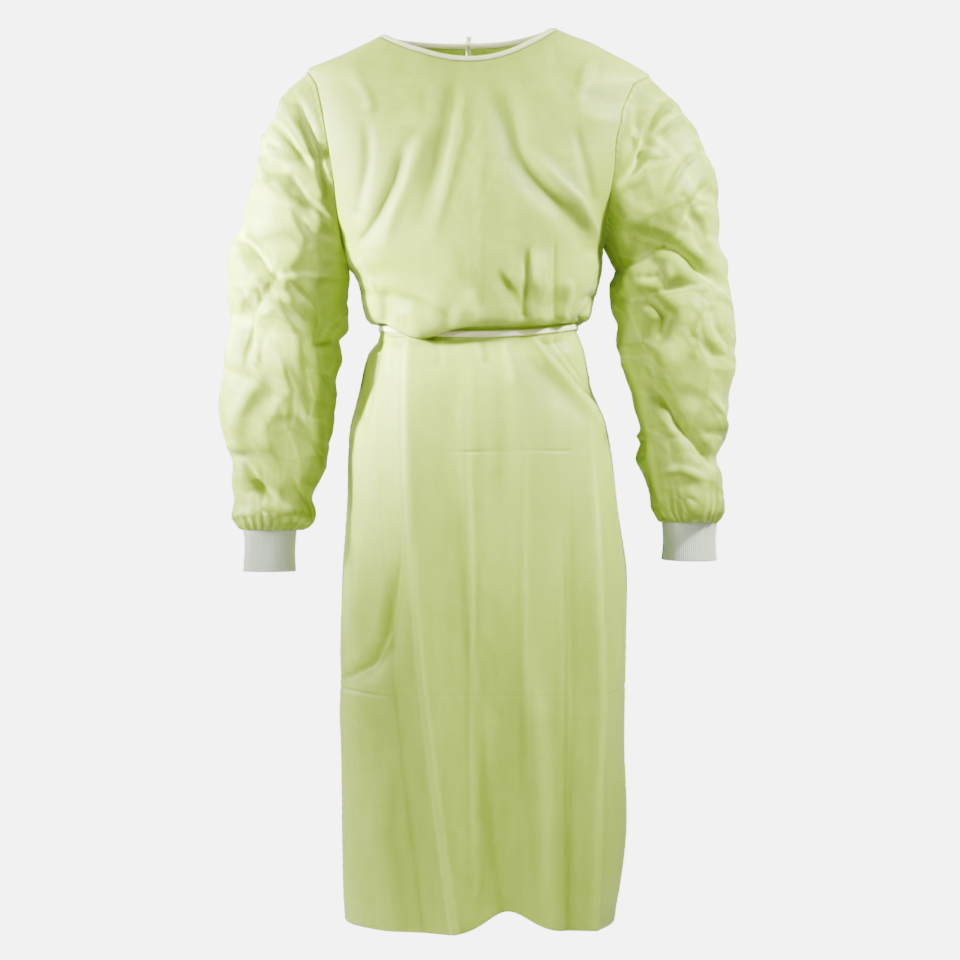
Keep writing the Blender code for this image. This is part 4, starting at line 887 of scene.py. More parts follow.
# The sleeves. Each is one long piece of the same nonwoven, closed by a seam under the arm and set into the
# dropped armhole. The empty sleeves hang bent. The papery cloth creases across the elbow and puffs out above
# the cuff.
Cross = namedtuple("Cross", "run outer z_outer inner z_inner half_depth middle")
SLEEVE = {
    -1: (
        Cross(0, -229, -24, -180, -277, 60, 0),
        Cross(36, -266, -72, -180, -290, 65, 0),
        Cross(97, -303, -161, -178, -318, 68, -1),
        Cross(128, -318, -201, -178, -338, 68, -2),
        Cross(181, -333, -281, -181, -362, 66, -4),
        Cross(211, -333, -321, -193, -380, 62, -5),
        Cross(239, -327, -360, -189, -396, 63, -6),
        Cross(275, -334, -400, -192, -427, 62, -8),
        Cross(346, -339, -480, -197, -488, 58, -12),
        Cross(383, -336, -521, -203, -521, 55, -14),
        Cross(403, -327, -541, -207, -541, 51, -15),
        Cross(428, -331, -567, -214, -564, 50, -17),
        Cross(455, -328, -593, -225, -593, 46, -19),
        Cross(475, -327, -614, -222, -612, 46, -20),
        Cross(487, -320, -626, -229, -625, 38, -21),
        Cross(494, -313.5, -633, -242.5, -633, 26, -22),
    ),
    1: (
        Cross(0, 226, -32, 165, -249, 60, 0),
        Cross(36, 266, -72, 173, -263, 65, 0),
        Cross(86, 303, -141, 185, -282, 68, -1),
        Cross(111, 315, -181, 189, -289, 68, -2),
        Cross(139, 317, -214, 178, -311, 67, -3),
        Cross(165, 317, -247, 177, -330, 67, -4),
        Cross(199, 327, -290, 180, -354, 64, -5),
        Cross(259, 338, -360, 184, -402, 63, -7),
        Cross(288, 334, -394, 189, -426, 61, -9),
        Cross(329, 330, -440, 197, -462, 58, -11),
        Cross(385, 327, -508, 211, -505, 55, -14),
        Cross(418, 315, -541, 206, -537, 50, -16),
        Cross(443, 321, -564, 215, -561, 49, -18),
        Cross(469, 323, -591, 222, -585, 47, -20),
        Cross(487, 321, -608, 225, -604, 44, -21),
        Cross(499, 315, -618, 235, -618, 34, -22),
        Cross(504, 313.5, -623.5, 239.5, -622.5, 26, -22),
    ),
}
SLEEVE_ROWS = {side: np.array(rows, dtype=float) for side, rows in SLEEVE.items()}
SLEEVE_FRONT_FOLDS = (
    # Wearer's right, from the shoulder down
    Fold(((-243, -56), (-220, -110), (-191, -206)), -6, 10, 10, 0.2, 0.6),
    Fold(((-241, -60), (-218, -113)), -2.8, 4, 5, 0.2, 0.4, True),
    Fold(((-270, -89), (-230, -140), (-205, -153), (-197, -176)), -3.0, 5, 4, 0.1, 0.6, True),
    Fold(((-259, -70), (-229, -124), (-198, -192)), 4, 10, 10, 0.2, 0.4),
    Fold(((-272, -88), (-233, -140), (-199, -178)), -6, 11, 11, 0.2, 0.5),
    Fold(((-282, -116), (-261, -132), (-227, -146)), -2.6, 5, 6, 0.2, 0.5, True),
    Fold(((-290, -134), (-286, -158), (-275, -182)), 3.0, 7, 9, 0.2, 0.2, True),
    Fold(((-300, -150), (-262, -190), (-214, -214)), 3.2, 11, 12, 0.1, 0.3),
    Fold(((-252, -160), (-226, -196), (-200, -220)), -3.2, 8, 7, 0.1, 0.5, True),
    Fold(((-325, -243), (-270, -299)), -7, 14, 14, 0.2, 0.4),
    Fold(((-325, -243), (-298, -268), (-270, -299)), -3.4, 4, 7, 0.3, 0.8, True),
    Fold(((-270, -299), (-298, -347), (-310, -422)), -5, 14, 12, 0.3, 0.1),
    Fold(((-270, -299), (-298, -347), (-310, -398), (-310, -422)), 3.2, 9, 5, 0.8, 0.3, True),
    Fold(((-251, -307), (-223, -334)), -3.4, 8, 7, 0.3, 0.4, True),
    Fold(((-268, -302), (-232, -296), (-190, -300)), -2.8, 6, 7, 0.4, 0.3, True),
    Fold(((-318, -300), (-308, -330), (-322, -360)), 2.6, 7, 6, 0.2, 0.3, True),
    Fold(((-184, -352), (-204, -380), (-230, -392)), -3.6, 9, 8, 0.6, 0.0, True),
    Fold(((-287, -431), (-313, -485), (-313, -524)), 5, 15, 15, 0.1, 0.4),
    Fold(((-262, -402), (-246, -450), (-250, -500)), 3.0, 10, 7, 0.1, 0.2, True),
    Fold(((-232, -410), (-216, -460), (-222, -510)), -2.8, 8, 9, 0.2, 0.2, True),
    Fold(((-338, -524), (-313, -540), (-300, -568)), -4.2, 7, 8, 0.9, 0.2, True),
    Fold(((-318, -540), (-287, -579), (-252, -596)), -6, 11, 11, 0.4, 0.2),
    Fold(((-313, -540), (-287, -579), (-259, -596)), -3.0, 4, 6, 0.6, 0.2, True),
    Fold(((-250, -560), (-234, -590), (-226, -612)), 2.8, 7, 6, 0.1, 0.4, True),
    Fold(((-327, -616), (-280, -604), (-226, -612)), 3.2, 9, 8, 0.3, 0.3),
    Fold(((-300, -600), (-291, -606), (-280, -612)), -3.4, 5, 5, 0.2, 0.2),
    # Wearer's left, from the shoulder down
    Fold(((203, -50), (200, -105), (190, -140)), -5, 9, 10, 0.2, 0.4),
    Fold(((196, -40), (199, -60), (198, -105), (190, -128)), -3.0, 4, 5, 0.4, 0.4, True),
    Fold(((257, -61), (232, -90), (214, -118)), 5, 11, 11, 0.2, 0.4),
    Fold(((271, -86), (250, -98), (235, -112)), 2.8, 6, 7, 0.2, 0.3, True),
    Fold(((232, -80), (211, -129), (184, -177)), -6, 10, 11, 0.2, 0.6),
    Fold(((225, -85), (209, -129), (202, -153), (181, -177)), -3.2, 4, 6, 0.2, 0.7, True),
    Fold(((242, -145), (221, -150), (202, -169)), -3.0, 5, 6, 0.2, 0.5, True),
    Fold(((290, -130), (262, -160), (240, -200)), 3.2, 10, 9, 0.1, 0.2),
    Fold(((300, -176), (276, -206), (262, -236)), -2.8, 7, 8, 0.2, 0.2, True),
    Fold(((207, -252), (254, -266), (315, -312)), -7, 12, 12, 0.5, 0.2),
    Fold(((207, -249), (254, -266), (300, -303), (315, -315)), -3.4, 5, 6, 0.7, 0.3, True),
    Fold(((210, -329), (243, -319), (297, -311)), -3.4, 6, 8, 0.7, 0.2, True),
    Fold(((207, -303), (222, -306), (236, -300)), -4.0, 8, 8, 0.3, 0.2),
    Fold(((216, -327), (243, -352), (232, -387)), -6, 13, 13, 0.3, 0.1),
    Fold(((222, -328), (245, -354), (231, -387)), -2.8, 5, 6, 0.3, 0.2, True),
    Fold(((290, -330), (276, -372), (290, -410)), 3.0, 10, 8, 0.1, 0.1, True),
    Fold(((222, -434), (254, -487), (298, -540)), -6, 13, 13, 0.1, 0.5),
    Fold(((222, -434), (254, -487), (274, -513), (306, -551)), -3.0, 6, 4, 0.2, 0.6, True),
    Fold(((294, -456), (315, -480), (324, -512)), 4, 12, 12, 0.1, 0.3),
    Fold(((294, -456), (315, -480), (324, -512)), 2.4, 5, 6, 0.2, 0.4, True),
    Fold(((326, -517), (315, -543)), -4.0, 8, 8, 0.9, 0.4, True),
    Fold(((213, -513), (206, -539)), -4.0, 8, 8, 0.8, 0.5, True),
    Fold(((259, -589), (274, -613)), -2.8, 5, 5, 0.3, 0.3, True),
    Fold(((271, -591), (282, -597)), -2.6, 5, 5, 0.3, 0.3, True),
    Fold(((236, -560), (262, -556), (300, -570)), 2.8, 9, 8, 0.2, 0.2),
)
SLEEVE_BACK_FOLDS = (
    Fold(((-252, -72), (-222, -130), (-194, -205)), -6, 12, 12, 0.2, 0.5),
    Fold(((-268, -100), (-236, -150), (-204, -196)), -3.0, 5, 6, 0.2, 0.5, True),
    Fold(((-296, -140), (-262, -188), (-226, -210)), 3.2, 9, 9, 0.1, 0.3),
    Fold(((-320, -236), (-280, -262), (-240, -310)), -3.2, 6, 8, 0.3, 0.4, True),
    Fold(((-200, -345), (-262, -356), (-322, -330)), -7, 14, 14, 0.4, 0.2),
    Fold(((-204, -338), (-256, -350), (-300, -334)), -3.2, 6, 5, 0.5, 0.2, True),
    Fold(((-250, -380), (-262, -430), (-240, -480)), 3.0, 9, 7, 0.1, 0.2, True),
    Fold(((-225, -445), (-275, -475), (-312, -530)), -6, 14, 14, 0.1, 0.4),
    Fold(((-230, -450), (-276, -480), (-308, -524)), -2.8, 5, 5, 0.2, 0.5, True),
    Fold(((-300, -560), (-270, -590), (-240, -600)), -3.4, 7, 7, 0.3, 0.2, True),
    Fold(((244, -70), (214, -125), (184, -190)), -6, 12, 12, 0.2, 0.5),
    Fold(((262, -96), (228, -142), (192, -186)), -3.0, 6, 5, 0.2, 0.5, True),
    Fold(((290, -150), (254, -190), (214, -204)), 3.2, 9, 9, 0.1, 0.3),
    Fold(((196, -318), (255, -345), (318, -322)), -7, 14, 14, 0.4, 0.2),
    Fold(((200, -310), (252, -336), (304, -322)), -3.2, 5, 6, 0.5, 0.2, True),
    Fold(((226, -372), (262, -392), (300, -386)), -2.8, 8, 7, 0.3, 0.2, True),
    Fold(((232, -470), (270, -455), (318, -420)), -6, 14, 14, 0.3, 0.1),
    Fold(((220, -500), (262, -520), (300, -560)), -3.0, 6, 6, 0.2, 0.4, True),
    Fold(((250, -570), (272, -592), (296, -600)), -3.0, 6, 6, 0.3, 0.2, True),
)
# Painted shade on the sleeves, where the cloth would lie double along folds and under the arms
SLEEVE_DOUBLED_SHADE = (
    Fold(((-206, -80), (-200, -180), (-184, -270)), 0.7, 10, 12, 0.1, 0.8),
    Fold(((-181, -290), (-186, -380), (-196, -480)), 0.5, 14, 8, 0.6, 0.2),
    Fold(((-320, -545), (-287, -579), (-250, -598)), 0.5, 10, 10, 0.4, 0.4),
    Fold(((-325, -243), (-298, -268), (-270, -299), (-300, -380)), 0.4, 9, 9, 0.2, 0.2),
    Fold(((200, -70), (190, -140), (180, -190)), 0.7, 10, 12, 0.1, 0.8),
    Fold(((207, -250), (254, -268), (300, -303)), 0.5, 9, 10, 0.6, 0.2),
    Fold(((214, -326), (244, -354), (232, -390)), 0.5, 9, 9, 0.3, 0.2),
    Fold(((222, -434), (254, -487), (298, -545)), 0.5, 9, 9, 0.2, 0.5),
)
SLEEVE_GAIN = 1.4
HEAD_BLEND = 95.0
HEAD_CALM = 30.0
CUFF_CALM = 12.0
SLEEVE_COLUMNS = 2 * ARMHOLE_STEPS
SLEEVE_ROW_STEP = 3.0
CUFF_GATHER_SPACING = 9.0
CUFF_GATHER_HEIGHT = 2.2
CUFF_GATHER_REACH = 26.0


def armhole_loop(side):
    """Seam points from the shoulder tip down the front and up the back."""
    front_edge = body_point(body_turn(EDGES[side, False][0], False), EDGES[side, False][1])
    back_edge = body_point(body_turn(EDGES[side, True][0], True), EDGES[side, True][1])
    return np.vstack([front_edge, back_edge[-2:0:-1]])


LOOPS = {side: armhole_loop(side) for side in (-1, 1)}


def plain_sleeve(side, around, run):
    """Sleeve cloth without folds. Around is 0 on the outer side and a quarter turn at the front."""
    outer, z_outer, inner, z_inner, half_depth, middle = np.moveaxis(
        read_table(SLEEVE_ROWS[side], run), -1, 0)
    x = (outer + inner) / 2.0 + (outer - inner) / 2.0 * np.cos(around)
    z = (z_outer + z_inner) / 2.0 + (z_outer - z_inner) / 2.0 * np.cos(around)
    return np.stack([x, middle - half_depth * np.sin(around), z], axis=-1)


# Heights and sizes of a sleeve's facets, which are drawn out a little down the arm where they are broad
Facets = namedtuple("Facets", "height size")
BROAD_FACETS, FINE_FACETS, CREASED_FACETS = Facets(9.0, 46.0), Facets(6.0, 27.0), Facets(2.0, 13.0)
SLEEVE_PATCH = 95.0
DRAWN_OUT = 0.7
LEAST_FACETS = 0.3


def sleeve_crumple(x, z, seed):
    """Papery facets all over a sleeve, some places deep and others nearly flat."""
    patchy = 0.5 + 0.5 * smooth_noise(x, z, SLEEVE_PATCH, seed + 10)
    uneven = LEAST_FACETS + (1.0 - LEAST_FACETS) * patchy
    broad = BROAD_FACETS.height * facets(x, DRAWN_OUT * z, BROAD_FACETS.size, seed + 11)
    fine = FINE_FACETS.height * facets(x, z, FINE_FACETS.size, seed + 12) * uneven
    creased = CREASED_FACETS.height * facets(x, z, CREASED_FACETS.size, seed + 13) * patchy
    return broad + fine + creased


def sleeve_point(side, around, run):
    """Outer face of a sleeve with its folds. Its head takes the armhole's own shape."""
    base = plain_sleeve(side, around, run)
    loop = LOOPS[side]
    stations = np.arange(len(loop) + 1) * 2.0 * math.pi / len(loop)
    offsets = np.vstack([loop, loop[:1]]) - plain_sleeve(side, stations, np.zeros(len(stations)))
    turn = np.mod(around, 2.0 * math.pi)
    head = np.stack([np.interp(turn, stations, offsets[:, axis]) for axis in range(3)], axis=-1)
    base = base + head * (1.0 - ease(run / HEAD_BLEND))[..., None]
    normal = surface_normal(lambda first, second: plain_sleeve(side, first, second), around, run) * side
    frontness = ease(0.5 + SIDE_BLEND * np.sin(around))
    last_run = SLEEVE[side][-1].run
    away = ease(run / HEAD_CALM) * ease((last_run - run) / CUFF_CALM)
    depth = away * folds_at(base, SLEEVE_FRONT_FOLDS, SLEEVE_BACK_FOLDS, SLEEVE_GAIN, frontness,
                            sleeve_crumple)
    gathers = puckers(around * half_round(side), last_run - run, CUFF_GATHER_SPACING, CUFF_GATHER_HEIGHT,
                      CUFF_GATHER_REACH, 300 + side)
    return base + normal * (depth + gathers)[..., None]


def half_round(side):
    """Mean radius of the sleeve's end, to turn an angle into a length along the cuff seam."""
    end = SLEEVE[side][-1]
    return (abs(end.outer - end.inner) / 2.0 + end.half_depth) / 2.0


for side, node in ((-1, "sleeve_right"), (1, "sleeve_left")):
    last_run = SLEEVE[side][-1].run
    sleeve_turn, sleeve_run = np.meshgrid(np.arange(SLEEVE_COLUMNS) * 2.0 * math.pi / SLEEVE_COLUMNS,
                                          np.linspace(0.0, last_run, round(last_run / SLEEVE_ROW_STEP) + 1))
    sleeve_points = sleeve_point(side, sleeve_turn, sleeve_run)
    sleeve_points = draw_in_seams(sleeve_points, (float(side), 0.0, 0.0), ("top",), 200 + side,
                                  np.zeros(sleeve_run.shape), ring=True)
    sleeve = cloth_piece("gown_" + node, sleeve_points, NONWOVEN, CLOTH, (float(side), 0.0, 0.0), ring=True,
                         doubled_shade=doubled_shade_at(sleeve_points, SLEEVE_DOUBLED_SHADE))
    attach(sleeve, "root")
    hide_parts(node)


# The cuffs. Each is a tube of white rib knit, doubled and sewn on the gathered end of its sleeve. The ribs
# run along the arm, and the knit draws in a little between its seam and its folded lower edge.
# The knit is soft polyester yarn: dull and fuzzy, with a faint row of loops across the ribs. The loops are
# drawn 1.6 mm high, a little coarser than real ones, and the fuzz far coarser, so that both show.
KNIT_YARN, knit_tree, knit_shader = new_material("polyester rib knit", "#E3E6E0", 0.88)
STITCH_HIGH = 0.0016
# A wave texture of scale one repeats at this distance
WAVE_PERIOD = 0.31
FUZZ_SCALE = 900.0
knit_place = add_node(knit_tree, "ShaderNodeTexCoord")
loops = add_node(knit_tree, "ShaderNodeTexWave", {"bands_direction": "Z", "wave_type": "BANDS"},
                 {"Vector": knit_place.outputs["Object"]},
                 Scale=WAVE_PERIOD / STITCH_HIGH, Distortion=1.2, Detail=2.0, Detail_Scale=3.0)
fuzz = add_node(knit_tree, "ShaderNodeTexNoise", links={"Vector": knit_place.outputs["Object"]},
                Scale=FUZZ_SCALE, Detail=3.0)
yarn = mix_colours(knit_tree, fuzz.outputs["Fac"], "#B8C4AC", "#D4DDC8")
knit_tree.links.new(yarn, knit_shader.inputs["Base Color"])
loop_bump = add_node(knit_tree, "ShaderNodeBump", links={"Height": loops.outputs["Fac"]},
                     Strength=0.25, Distance=0.0004)
fuzz_bump = add_node(knit_tree, "ShaderNodeBump",
                     links={"Height": fuzz.outputs["Fac"], "Normal": loop_bump.outputs["Normal"]},
                     Strength=0.2, Distance=0.0003)
knit_tree.links.new(fuzz_bump.outputs["Normal"], knit_shader.inputs["Normal"])
knit_shader.inputs["Sheen Weight"].default_value = 0.25

CUFF_LENGTH = {-1: 55.0, 1: 51.0}
CUFF_RIBS = 84
RIB_COLUMNS = 6
RIB_RISE = 0.8
RIB_ROUND = 0.8
RIB_LOST_INSIDE = 0.6
KNIT_THICK = 1.9
CUFF_DRAW_IN = 1.6
DRAW_IN_ROUND = 1.2
CUFF_TUCK = 0.2
CUFF_UNEVEN = 0.5
CUFF_SCALLOP = 0.35
CUFF_LIFT = {-1: 1.0, 1: 3.5}
# The cuff's wall as it runs from the sleeve seam down, round the folded edge and up inside, by its share of
# the length and of the wall's thickness
CuffPart = namedtuple("CuffPart", "down inward")
CUFF_WALL = ([CuffPart(down, 0.0) for down in np.linspace(-0.02, 0.955, 26)]
             + [CuffPart(0.985, 0.12), CuffPart(1.0, 0.42), CuffPart(0.995, 0.75), CuffPart(0.96, 1.0)]
             + [CuffPart(down, 1.0) for down in np.linspace(0.9, -0.02, 14)])
for side, node in ((-1, "cuff_right"), (1, "cuff_left")):
    end = SLEEVE[side][-1]
    around = np.arange(CUFF_RIBS * RIB_COLUMNS) * 2.0 * math.pi / (CUFF_RIBS * RIB_COLUMNS)
    rib = np.abs(np.cos(around * CUFF_RIBS / 2.0)) ** RIB_ROUND
    cuff_rows = []
    for part in CUFF_WALL:
        drawn = CUFF_DRAW_IN * math.sin(math.pi * min(max(part.down, 0.0), 1.0)) ** DRAW_IN_ROUND
        groove = RIB_RISE * (1.0 - rib) * (1.0 - RIB_LOST_INSIDE * part.inward)
        inset = drawn + KNIT_THICK * part.inward + groove
        uneven = CUFF_UNEVEN * np.sin(3.0 * around + side + 2.0 * part.down)
        half_x = abs(end.outer - end.inner) / 2.0 - CUFF_TUCK - inset + uneven
        half_y = end.half_depth - CUFF_TUCK - inset + uneven
        top = (end.z_outer + end.z_inner) / 2.0 + (end.z_outer - end.z_inner) / 2.0 * np.cos(around)
        scallop = CUFF_SCALLOP * rib * (part.down > 0.95)
        lift = CUFF_LIFT[side] * (1.0 - np.sin(around)) / 2.0 * max(part.down, 0.0)
        x = (end.outer + end.inner) / 2.0 + side * half_x * np.cos(around)
        y = end.middle - half_y * np.sin(around)
        cuff_rows.append(np.stack([x, y, top - CUFF_LENGTH[side] * part.down - scallop + lift], axis=-1))
    cuff_points = np.array(cuff_rows)
    rows, columns = cuff_points.shape[:2]
    cuff_faces = [(row * columns + column, row * columns + (column + 1) % columns,
                   (row + 1) % rows * columns + (column + 1) % columns, (row + 1) % rows * columns + column)
                  for row in range(rows) for column in range(columns)]
    if side < 0:
        cuff_faces = [face[::-1] for face in cuff_faces]
    cuff = mesh_object("gown_" + node, cuff_points, cuff_faces, KNIT_YARN)
    knit_mesh = bmesh.new()
    knit_mesh.from_mesh(cuff.data)
    bmesh.ops.recalc_face_normals(knit_mesh, faces=knit_mesh.faces[:])
    knit_mesh.to_mesh(cuff.data)
    knit_mesh.free()
    cuff.data.shade_smooth()
    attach(cuff, "root")
    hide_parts(node)


# The seam stitches. Each cuff is topstitched to its sleeve, and the neck tape is stitched through near its
# lower edge, in white polyester thread. The stitches lie end to end along each seam, a little sunk in.
# The spun thread is dull white with a fine uneven twist, and is drawn about twice as thick as real, to show.
THREAD, thread_tree, thread_shader = new_material("white spun polyester thread", "#E9EDD2", 0.6)
TWIST_SCALE = 2600.0
thread_place = add_node(thread_tree, "ShaderNodeTexCoord")
twist = add_node(thread_tree, "ShaderNodeTexNoise", links={"Vector": thread_place.outputs["Object"]},
                 Scale=TWIST_SCALE, Detail=2.0)
thread_bump = add_node(thread_tree, "ShaderNodeBump", links={"Height": twist.outputs["Fac"]},
                       Strength=0.3, Distance=0.0002)
thread_tree.links.new(thread_bump.outputs["Normal"], thread_shader.inputs["Normal"])
STITCH_LENGTH = 2.4
STITCH_PITCH = 3.1
THREAD_WIDE = 0.55


def stitch_tree():
    """Geometry Nodes that lay short stitches along a line of edges."""
    tree = bpy.data.node_groups.new("stitches along a seam", "GeometryNodeTree")
    tree.interface.new_socket("Geometry", in_out="INPUT", socket_type="NodeSocketGeometry")
    for name in ("Pitch", "Stitch length", "Thread width"):
        tree.interface.new_socket(name, in_out="INPUT", socket_type="NodeSocketFloat")
    tree.interface.new_socket("Thread", in_out="INPUT", socket_type="NodeSocketMaterial")
    tree.interface.new_socket("Geometry", in_out="OUTPUT", socket_type="NodeSocketGeometry")
    start = add_node(tree, "NodeGroupInput")
    line = add_node(tree, "GeometryNodeMeshToCurve", links={"Mesh": start.outputs["Geometry"]})
    spaced = add_node(tree, "GeometryNodeResampleCurve", {"mode": "LENGTH"},
                      {"Curve": line.outputs["Curve"], "Length": start.outputs["Pitch"]})
    half_wide, half_long = [
        add_node(tree, "ShaderNodeMath", {"operation": "MULTIPLY"}, {0: start.outputs[whole]}, {1: 0.5})
        for whole in ("Thread width", "Stitch length")]
    size = add_node(tree, "ShaderNodeCombineXYZ",
                    links={"X": half_wide.outputs["Value"], "Y": half_wide.outputs["Value"],
                           "Z": half_long.outputs["Value"]})
    bead = add_node(tree, "GeometryNodeMeshUVSphere", Segments=8, Rings=6, Radius=1.0)
    tangent = add_node(tree, "GeometryNodeInputTangent")
    turned = add_node(tree, "FunctionNodeAlignRotationToVector", {"axis": "Z"},
                      {"Vector": tangent.outputs["Tangent"]})
    laid = add_node(tree, "GeometryNodeInstanceOnPoints",
                    links={"Points": spaced.outputs["Curve"], "Instance": bead.outputs["Mesh"],
                           "Rotation": turned.outputs["Rotation"], "Scale": size.outputs["Vector"]})
    real = add_node(tree, "GeometryNodeRealizeInstances", links={"Geometry": laid.outputs["Instances"]})
    painted = add_node(tree, "GeometryNodeSetMaterial",
                       links={"Geometry": real.outputs["Geometry"], "Material": start.outputs["Thread"]})
    add_node(tree, "NodeGroupOutput", links={"Geometry": painted.outputs["Geometry"]})
    return tree


STITCHES = stitch_tree()


def sew_line(name, points, closed):
    """A row of stitches along a line of points, as a plain mesh."""
    count = len(points)
    edges = [(n, n + 1) for n in range(count - 1)] + ([(count - 1, 0)] if closed else [])
    mesh = bpy.data.meshes.new(name + "_line")
    mesh.from_pydata((np.asarray(points) * MM).tolist(), edges, [])
    made = bpy.data.objects.new(name, mesh)
    bpy.context.scene.collection.objects.link(made)
    layer = made.modifiers.new("stitches", "NODES")
    layer.node_group = STITCHES
    sockets = {item.name: item.identifier for item in STITCHES.interface.items_tree if item.in_out == "INPUT"}
    layer[sockets["Pitch"]] = STITCH_PITCH * MM
    layer[sockets["Stitch length"]] = STITCH_LENGTH * MM
    layer[sockets["Thread width"]] = THREAD_WIDE * MM
    layer[sockets["Thread"]] = THREAD
    evaluated = made.evaluated_get(bpy.context.evaluated_depsgraph_get())
    plain = bpy.data.meshes.new_from_object(evaluated)
    made.modifiers.remove(layer)
    made.data = plain
    plain.name = name
    plain.shade_smooth()
    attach(made, "root")
    return made


CUFF_STITCH_AWAY = 3.2
CUFF_SEAM_POINTS = 180
STITCH_STANDS = 0.15
for side, name in ((-1, "cuff_stitches_right"), (1, "cuff_stitches_left")):
    last_run = SLEEVE[side][-1].run
    seam_turn = np.arange(CUFF_SEAM_POINTS) * 2.0 * math.pi / CUFF_SEAM_POINTS
    seam_points = sleeve_point(side, seam_turn, np.full(CUFF_SEAM_POINTS, last_run - CUFF_STITCH_AWAY))
    centre = seam_points.mean(axis=0)
    seam_points = seam_points + unit(seam_points - centre) * STITCH_STANDS
    sew_line(name, seam_points, True)


# The neck binding. A white nonwoven tape is folded over the raw neck edge and stitched through. Its two ends
# meet at the centre back, where they are tied, with one short stub up and one end down.
# The tape is closer and duller than the gown's cloth, creamy white where the yellow shows through. Its fibres
# are drawn as specks 1.6 mm wide, far coarser than real ones.
TAPE_CLOTH, tape_tree, tape_shader = new_material("white nonwoven tape", "#EEF0E2", 0.7)
TAPE_THICK = 0.45
TAPE_FIBRE_SCALE = 620.0
tape_place = add_node(tape_tree, "ShaderNodeTexCoord")
tape_fibres = add_node(tape_tree, "ShaderNodeTexNoise", links={"Vector": tape_place.outputs["Object"]},
                       Scale=TAPE_FIBRE_SCALE, Detail=4.0, Roughness=0.65)
tape_tone = mix_colours(tape_tree, tape_fibres.outputs["Fac"], "#E4E49A", "#F8F6C0")
tape_tree.links.new(tape_tone, tape_shader.inputs["Base Color"])
tape_bump = add_node(tape_tree, "ShaderNodeBump", links={"Height": tape_fibres.outputs["Fac"]},
                     Strength=0.3, Distance=0.0004)
tape_tree.links.new(tape_bump.outputs["Normal"], tape_shader.inputs["Normal"])
tape_shader.inputs["Sheen Weight"].default_value = 0.1

NECK_POINTS = 200
NECK_POINT_SINK = 2.4
NECK_POINT_HALF = 0.2
NECK_RIPPLE, NECK_RIPPLE_SIZE = 0.25, 14.0
NECK_STITCH_RUN = 5.0
NECK_STITCH_STANDS = 1.12
# The tape and its stitches stand out along the cloth's direction at this run
NECK_FACING_RUN = 3.0
# The folded tape from its outer edge over the neck edge to its inner edge, by its run down the body and its
# height over the body's outer face
TapeFold = namedtuple("TapeFold", "run out")
NECK_TAPE = (
    TapeFold(6.4, 0.5), TapeFold(5.2, 0.95), TapeFold(3.6, 1.1), TapeFold(2.0, 1.1), TapeFold(0.9, 1.0),
    TapeFold(0.1, 0.55), TapeFold(-0.2, -0.3), TapeFold(0.1, -1.1), TapeFold(0.9, -1.6), TapeFold(2.0, -1.8),
    TapeFold(3.6, -1.8), TapeFold(5.2, -1.6), TapeFold(6.4, -1.3),
)


def body_normal(turn, run):
    """Outward direction of the body's outer face."""
    return -surface_normal(body_point, turn, run)


neck_turns = np.linspace(-math.pi - LAP_NECK_TURN, math.pi + LAP_NECK_TURN, NECK_POINTS)
neck_turn, neck_part = np.meshgrid(neck_turns, np.arange(len(NECK_TAPE)))
tape_run = np.array([part.run for part in NECK_TAPE])[neck_part]
tape_out = np.array([part.out for part in NECK_TAPE])[neck_part]
edge_normal = body_normal(neck_turn, np.full(neck_turn.shape, NECK_FACING_RUN))
tape_ripple = NECK_RIPPLE * smooth_noise(neck_turn * 100.0, tape_run * 4.0, NECK_RIPPLE_SIZE, 7)
binding_points = body_point(neck_turn, tape_run) + edge_normal * (tape_out + tape_ripple)[..., None]
# The tape lies lower where it turns over the shoulder seams
binding_points[..., 2] -= NECK_POINT_SINK * np.exp(-((np.abs(neck_turn) - QUARTER) / NECK_POINT_HALF) ** 2)
binding = cloth_piece("gown_neck_binding", binding_points, TAPE_CLOTH, TAPE_THICK, (0.0, -1.0, 0.0))
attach(binding, "root")
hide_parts("neck_binding")
stitch_normal = body_normal(neck_turns, np.full(NECK_POINTS, NECK_FACING_RUN))
stitch_seat = body_point(neck_turns, np.full(NECK_POINTS, NECK_STITCH_RUN))
neck_stitches = sew_line("neck_stitches", stitch_seat + stitch_normal * NECK_STITCH_STANDS, False)

# A knot is a ball of the knot's size. One turn of tape stands out over it, with a groove along each side and
# small creases beside them, all as shares of the ball's half width.
KNOT_SIZE = (15.0, 8.0, 12.0)
BAND_STANDS, BAND_HALF = 0.16, 0.34
GROOVE_DEEP, GROOVE_AT, GROOVE_HALF = 0.10, 0.45, 0.1
KNOT_CREASE, KNOT_WAVES = 0.045, 9.0
END_WIDTH = 7.0
STRIP_COLUMNS = 5
STRIP_CUP = 0.5


